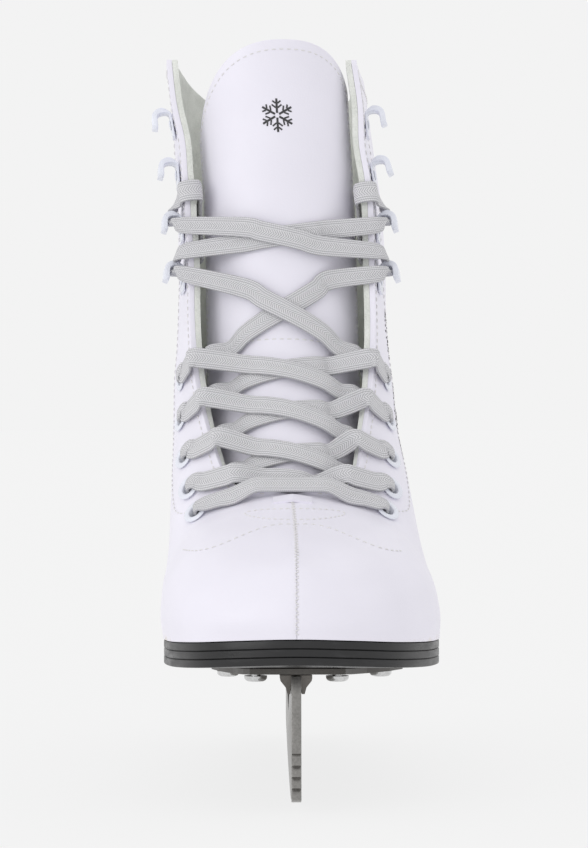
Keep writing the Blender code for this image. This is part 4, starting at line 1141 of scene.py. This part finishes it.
def build_snowflake(m):
    cx, cz = FLAKE_AT

    def surface(x, z):
        return tongue_at(cx + x, cz + z)

    def heading(ang):
        return np.array((math.cos(ang), math.sin(ang)))

    parts = []
    for k in range(6):
        ang = math.tau * k / 6 + math.pi / 2
        d = heading(ang)
        parts.append(printed_bar(d * 0.9, d * FLAKE_R, 0.8, surface))
        for arm in (heading(ang - 0.9), heading(ang + 0.9)):
            for start, size in ((2.6, 1.9), (4.3, 1.5)):
                foot = d * start + arm * 0.5
                parts.append(printed_bar(foot, foot + arm * size, 0.6, surface))
    obj = new_mesh("tongue_snowflake", *joined(parts))
    finish_piece(obj, m["ink"], body="tongue")


def dotted_curl(centre, start_r, turns, turn_dir, count):
    """Points of a plain spiral, in station and flap-distance units."""
    u, d = centre
    dots = []
    for share in spaced(0, 1, count):
        r = start_r * (1 - 0.82 * share)
        ang = turn_dir * math.tau * turns * share
        dots.append((u + r * math.sin(ang), d + r * math.cos(ang) * 11.0))
    return dots


def build_decoration(m):
    """Dotted curls printed on the outer ankle only."""
    dots = dotted_curl((9.4, 34.0), 1.0, 1.5, 1, 46)
    dots += dotted_curl((11.3, 31.0), 0.95, 1.4, -1, 42)
    dots += dotted_curl((10.4, 47.0), 0.7, 1.2, 1, 28)
    parts = []
    for k, (u, d) in enumerate(dots):
        f = flap_frame(1, u, d)
        r = 0.34 + 0.16 * math.sin(k * 0.7) ** 2
        parts.append(turned([(r, -0.2), (r, 0.06), (r * 0.7, 0.09)], f.p, f.n, 10))
    obj = new_mesh("ankle_dots", *joined(parts))
    finish_piece(obj, m["ink"])


# ---------------------------------------------------------------- hardware

def smooth_path(values, count):
    """Catmull-Rom samples of rows of numbers."""
    rows = with_ends(values)
    out = []
    for x in spaced(0, len(values) - 1, count):
        i = int(min(math.floor(x), len(values) - 2))
        out.append(weights(x - i) @ rows[i:i + 4])
    return np.array(out)


def tagged(name, side, index):
    return "%s_%s%d" % (name, "m" if side < 0 else "l", index + 1)


def build_eyelet(side, index, mat):
    f = flap_frame(side, *eyelet_spots(side)[index])
    deep = -(LEATHER_T + LINING_T + GAP + 0.2)
    lift = EYELET_LIFT[index]
    mid = (EYELET_IN_R + EYELET_FLANGE_R) / 2
    half = (EYELET_FLANGE_R - EYELET_IN_R) / 2
    roll = [(EYELET_IN_R, deep), (EYELET_OUT_R, deep), (EYELET_OUT_R, lift - 0.05),
            (EYELET_FLANGE_R - 0.25, lift - 0.05)]
    for ang in spaced(0, math.pi, 9):
        roll.append((mid + half * math.cos(ang), lift + 0.08 + 0.48 * math.sin(ang)))
    obj = new_mesh(tagged("eyelet_ring", side, index), *lathe(roll, f.p, f.n, 36))
    finish_piece(obj, mat, [tagged("eyelet", side, index)])


HOOK_BODY = 1.3          # the pressed hook's extra outward thickness at its web and lip


HOOK_RINGS = 46
STRIP_SECTION = ((-1, -0.5), (-0.85, -1), (0.85, -1), (1, -0.5), (1, 0.5), (0.85, 1), (-0.85, 1),
                 (-1, 0.5))  # corners of the hook's strip, in half widths and half thicknesses
STRIP_HALF = 0.45        # half thickness of the hook's strip
RIVET_DOME = ((1.35, -1.7), (1.35, 1.35), (2.0, 1.35), (1.95, 1.5), (1.6, 1.68), (1.0, 1.8),
              (0.3, 1.85))


def build_hook(side, index, mat):
    f = flap_frame(side, *hook_spots(side)[index])
    line = smooth_path(HOOK_PATH, HOOK_RINGS)
    rings = []
    for k, (h, z, w) in enumerate(line):
        run = unit(line[min(k + 1, HOOK_RINGS - 1)][:2] - line[max(k - 1, 0)][:2])
        outer = STRIP_HALF + HOOK_BODY * ramp(14, 22, k)
        ring = []
        for sx, sn in STRIP_SECTION:
            thick = sn * (outer if sn < 0 else STRIP_HALF)
            rise, along = h + run[1] * thick, z - run[0] * thick
            ring.append(f.p + f.n * rise + f.e * along + f.a * (w * sx))
        rings.append(ring)
    obj = new_mesh(tagged("lace_hook", side, index), *rings_solid(rings))
    bore = [(HOOK_BORE_R, 0.0), (HOOK_BORE_R, 3.0)]
    cut(obj, new_mesh("bore", *turned(bore, f.p - f.n * 1.0, f.n, 24)))
    finish_piece(obj, mat, [tagged("hook", side, index)], sharp=55)
    obj = new_mesh(tagged("rivet_head", side, index), *turned(RIVET_DOME, f.p, f.n, 28))
    finish_piece(obj, mat, [tagged("rivet", side, index)])


PAN_HEAD = ((0.4, -2.12), (1.6, -2.05), (2.8, -1.88), (3.5, -1.55), (3.9, -1.0), (4.0, -0.45),
            (4.0, 0.0))
SHANK_R = 1.7            # screw shank radius


def build_screw(name, x, t, head_z, length, mat):
    """Pan head with a cross recess, facing down."""
    y = t - BALL_T
    profile = [*PAN_HEAD, (SHANK_R, 0.0), (SHANK_R, length)]
    obj = new_mesh(name + "_pan", *turned(profile, (x, y, head_z), (0, 0, 1), 32))
    for dx, dy in ((2.0, 0.42), (0.42, 2.0)):
        ring = [(x - dx, y - dy), (x + dx, y - dy), (x + dx, y + dy), (x - dx, y + dy)]
        rings = [[(*corner, z) for corner in ring] for z in (head_z - 2.6, head_z - 1.0)]
        cut(obj, new_mesh("cross", *rings_solid(rings)))
    finish_piece(obj, mat, [name])


def build_screws(mat):
    for i, (x, t) in enumerate(FRONT_SCREWS):
        head_z = sole_bottom(t) - GAP - PLATE_T - SCREW_DROP
        build_screw("front_screw_%d" % (i + 1), x, t, head_z, 8.0, mat)
    for i, (x, t) in enumerate(HEEL_SCREWS):
        build_screw("heel_screw_%d" % (i + 1), x, t, HEEL_PLATE_Z - PLATE_T - GAP, 14.0, mat)


# ---------------------------------------------------------------- lace

LACE_SPREAD = 1.07       # the soft braid spreads a little wider than its solid where it lies flat


def band_section(width):
    """Rounded flat section of the braid as (across, height), width in millimetres."""
    hw, ht = width / 2 * (LACE_SPREAD if width > 6.0 else 1.0), LACE_T / 2
    turns = [(math.cos(math.tau * k / 20), math.sin(math.tau * k / 20)) for k in range(20)]
    return [(math.copysign(abs(c) ** 0.45, c) * hw, math.copysign(abs(s) ** 0.6, s) * ht)
            for c, s in turns]


def build_lace(mat):
    samples = smooth_keys(consistent(lace_keys()), 1.0)
    pts = [s[0] for s in samples]
    place = travelled(pts)
    rings = []
    marks = []
    for i, (p, n, w) in enumerate(samples):
        run = unit(pts[min(i + 1, len(pts) - 1)] - pts[max(i - 1, 0)])
        face = unit(n - run * np.dot(n, run))
        side = np.cross(run, face)
        section = band_section(w)
        rings.append([p + side * x + face * y for x, y in section])
        reach = max(x for x, y in section)
        marks += [(place[i], x / reach * LACE_W / 2) for x, y in section]
    obj = new_mesh("woven_lace", *rings_solid(rings))
    uv = obj.data.uv_layers.new(name="braid")
    for loop in obj.data.loops:
        uv.data[loop.index].uv = marks[loop.vertex_index]
    finish_piece(obj, mat, ["lace"], sharp=60)


# ---------------------------------------------------------------- sole and blade

def sole_ring(margin, height, us):
    left, right = ([skin(side, u, 0.0, 0.0) for u in us] for side in (-1, 1))
    loop = left + right[-2:0:-1]
    out = []
    for i, p in enumerate(loop):
        d = loop[(i + 1) % len(loop)] - loop[i - 1]
        out.append(p - unit(np.array((d[1], -d[0], 0.0))) * margin + np.array((0, 0, height)))
    return out


def stacked(levels, ring_of, count):
    """Closed stack of outline rings whose caps join the medial and lateral halves."""
    n = 2 * count - 2
    verts = []
    for level in levels:
        verts += ring_of(*level)
    faces = grid_faces(len(levels), n, closed=True)
    pairs = [(i, (n - i) % n) for i in range(count)]
    for base, flip in ((0, True), ((len(levels) - 1) * n, False)):
        for (a, b), (c, d) in zip(pairs, pairs[1:]):
            face = tuple(dict.fromkeys(base + k for k in (a, c, d, b)))
            faces.append(tuple(reversed(face)) if flip else face)
    return verts, faces


SOLE_TRIM = 1.2          # how far the moulded sole's side stays inside its solid
GROOVE = 0.35            # depth of the grooves round the sole
GROOVE_LIP = 0.25        # half height of a groove
DRILL_R = 2.1            # radius of the screw holes


def banded_levels(top, bottom, bands, margin):
    """Margins and heights down a stack of bands with a groove between each two."""
    levels = [(margin - 0.5, top), (margin - 0.12, top - 0.12), (margin, top - 0.5)]
    for k in range(1, bands):
        z = top - (top - bottom) / bands * k
        levels += [(margin - GROOVE * deep, z + GROOVE_LIP * rise) for deep, rise in (
            (0, 1), (0.7, 0.4), (1, 0), (0.7, -0.4), (0, -1))]
    return levels + [(margin, bottom + 0.5), (margin - 0.15, bottom + 0.12), (margin - 0.6, bottom)]


def drill_tool(spots, z0, z1):
    profile = [(DRILL_R, 0.0), (DRILL_R, z1 - z0)]
    parts = [turned(profile, (x, t - BALL_T, z0), (0, 0, 1), 20) for x, t in spots]
    return new_mesh("drill", *joined(parts))


def build_outsole(mat):
    us = spaced(0.0, CORNER, 141)
    levels = banded_levels(-GAP, -GAP - SOLE_T, 3, SOLE_LIP - SOLE_TRIM)
    obj = new_mesh("banded_outsole", *stacked(levels, lambda m, h: sole_ring(m, h, us), len(us)))
    cut(obj, drill_tool(FRONT_SCREWS, *FRONT_DRILL))
    finish_piece(obj, mat, ["outsole"], sharp=35)


HEEL_LEVELS = (          # (margin, share of the height) down the heel, a groove between its lifts
    (0.1, 1.0), (0.4, 0.97), (0.4, 0.71), (-0.2, 0.68), (0.4, 0.65), (0.4, 0.37), (-0.2, 0.34),
    (0.4, 0.31), (0.4, 0.03), (0.1, 0.0))


def build_heel(mat):
    """Stacked heel: the CAD block's sides with a groove between its lifts."""
    ts = spaced(184, 259.9, 60)
    tops = [sole_bottom(t) - 0.6 for t in ts]
    edges = [half_widths(t) for t in ts]
    floor = HEEL_PLATE_Z + GAP
    rows = list(range(len(ts)))
    loop = [(i, 0, -1) for i in rows] + [(i, 1, 1) for i in rows[-2:0:-1]]

    def ring_of(margin, share):
        return [np.array((edges[i][side] + margin * way, ts[i] - BALL_T,
                          floor + (tops[i] - floor) * share)) for i, side, way in loop]

    obj = new_mesh("stacked_heel", *stacked(HEEL_LEVELS, ring_of, len(ts)))
    cut(obj, drill_tool(HEEL_SCREWS, *HEEL_DRILL))
    finish_piece(obj, mat, ["heel_block"], sharp=35)


def fine_blade_outline():
    """The blade's side view with its curved stretches drawn smooth."""
    pts = blade_outline()
    ear = BLADE_EAR[1]
    tail, window, toe = (pts.index(p) for p in ((263, 7.0), (198, 44.0), (ear, blade_roof(ear))))
    return [*pts[:tail], *smooth_path(pts[tail:window], 40), *smooth_path(pts[window:toe], 70),
            *pts[toe:]]


def build_blade(mat):
    outline = fine_blade_outline()
    rings = [[(x, t - BALL_T, z) for t, z in outline] for x in (-BLADE_T / 2, BLADE_T / 2)]
    obj = new_mesh("ground_blade", *rings_solid(rings))
    bevel(obj, 0.18, 2, 60)
    finish_piece(obj, mat, ["blade"], sharp=30)


# ---------------------------------------------------------------- studio

CAMERA_AWAY = 1.083      # metres from the ball of the foot
CAMERA_UP = 0.1323       # metres above the ground
CAMERA_TURN = -0.6       # degrees round the skate
LENS = 124.6             # focal length in millimetres
BACKDROP = (0.896, 0.896, 0.896)
FLOOR_SHADE = (0.10, 0.10, 0.10)
FLOOR_GLOW = 0.805       # the floor is a light table, which keeps shadows on it pale
SUNS = {"key": ((-1.0, -0.8, 0.35), 0.58, 40), "back": ((0.5, 1.0, 0.9), 0.1, 50)}


def build_camera():
    data = bpy.data.cameras.new("camera")
    data.lens = LENS
    data.sensor_width = 36.0
    data.clip_start = 0.05
    cam = add_object("camera", data)
    turn = math.radians(CAMERA_TURN)
    cam.location = (math.sin(turn) * CAMERA_AWAY, -math.cos(turn) * CAMERA_AWAY, CAMERA_UP)
    cam.rotation_euler = (math.pi / 2, 0.0, turn)
    bpy.context.scene.camera = cam


def soft_sun(name, place, strength, spread):
    """Distant light with a wide disc, so the floor is lit evenly."""
    data = bpy.data.lights.new(name, "SUN")
    data.energy = strength
    data.angle = math.radians(spread)
    light = add_object(name, data)
    light.rotation_euler = (-Vector(place)).to_track_quat("-Z", "Y").to_euler()


def build_floor():
    bm = bmesh.new()
    bmesh.ops.create_grid(bm, x_segments=8, y_segments=8, size=60.0)
    mesh = bpy.data.meshes.new("floor")
    bm.to_mesh(mesh)
    bm.free()
    floor = add_object("floor", mesh)
    floor.location = (0, 0, -0.0005)
    m = Nodes("pale floor", FLOOR_SHADE, 1.0)
    m.put(m.bsdf, ("Specular IOR Level", 0.0), ("Emission Color", (1, 1, 1, 1)),
          ("Emission Strength", FLOOR_GLOW))
    m.paint(m.tint(m.noise(m.place(), 6.0), scaled(FLOOR_SHADE, 0.995), scaled(FLOOR_SHADE, 1.005)))
    mesh.materials.append(m.mat)


def build_studio():
    world = bpy.data.worlds.new("studio")
    world.use_nodes = True
    sky = world.node_tree.nodes["Background"]
    sky.inputs["Color"].default_value = (*BACKDROP, 1)
    sky.inputs["Strength"].default_value = 1.0
    bpy.context.scene.world = world
    bpy.context.scene.view_settings.view_transform = "Standard"
    for name, sun in SUNS.items():
        soft_sun(name, *sun)
    build_floor()


# ---------------------------------------------------------------- assembly

def make_materials():
    lengthwise = (1, 0.08, 1)
    return {
        "leather": leather_material(),
        "plush": plush_material(),
        "foam": foam_material(),
        "board": fine_grained("pressed fibre board", (0.50, 0.40, 0.28), 0.85, (0.40, 0.31, 0.21),
                              (0.60, 0.50, 0.36), (900, 5.0, 0.7), (0.1, 0.6), (1, 0.25, 1)),
        "sole": sole_material(),
        "plate": steel_material("dark sole plate", (0.10, 0.095, 0.09), 0.32, 0.48, lengthwise),
        # The root steel is a steel colour darkened further, as painted shade standing in for the
        # dark V of shade under the plate
        "root": steel_material("root steel darkened as painted shade", (0.16, 0.15, 0.14), 0.26, 0.42, lengthwise),
        "blade": steel_material("satin blade steel", (0.285, 0.278, 0.267), 0.26, 0.42,
                                (1, 0.04, 1)),
        "screw": steel_material("screw steel", (0.66, 0.66, 0.66), 0.18, 0.3, (1, 1, 1), 700),
        "painted": paint_material(),
        "lace": lace_material(),
        "thread": fine_grained("stitching thread", (0.70, 0.69, 0.66), 0.7, (0.70, 0.69, 0.68),
                               (0.84, 0.83, 0.84), (4200, 2.0), (0.06, 0.7)),
        "ink": fine_grained("printed dark ink", (0.03, 0.03, 0.032), 0.5, (0.02, 0.02, 0.022),
                            (0.06, 0.06, 0.063), (2600, 2.0), (0.02, 0.4)),
    }


KEPT = (                 # CAD nodes that are only repainted: material, edge rounding, nodes
    ("leather", 0.25, "back_stay"),
    ("leather", 0.2, "throat_tab"),
    ("board", 0.0, "toe_puff", "heel_counter", "insole_board"),
    ("foam", 0.0, "footbed"),
    ("blade", 0.0, "shank"),
    ("plate", 0.3, "front_sole_plate", "heel_plate"),
    # the mount channels take the darkened root steel, whose extra darkness is painted shade under
    # the plate
    ("root", 0.3, "front_mount_channel", "rear_mount_channel"),
)


def build_skate(m):
    build_boot(m)
    build_tongue(m)
    build_stitches(m)
    build_snowflake(m)
    build_decoration(m)
    for side in (-1, 1):
        for i in range(5):
            build_eyelet(side, i, m["painted"])
        for i in range(4):
            build_hook(side, i, m["painted"])
    build_screws(m["screw"])
    build_lace(m["lace"])
    build_outsole(m["sole"])
    build_heel(m["sole"])
    build_blade(m["blade"])
    for mat, edge, *nodes in KEPT:
        for node in nodes:
            repaint(node, m[mat], edge)


build_camera()
build_studio()
build_skate(make_materials())
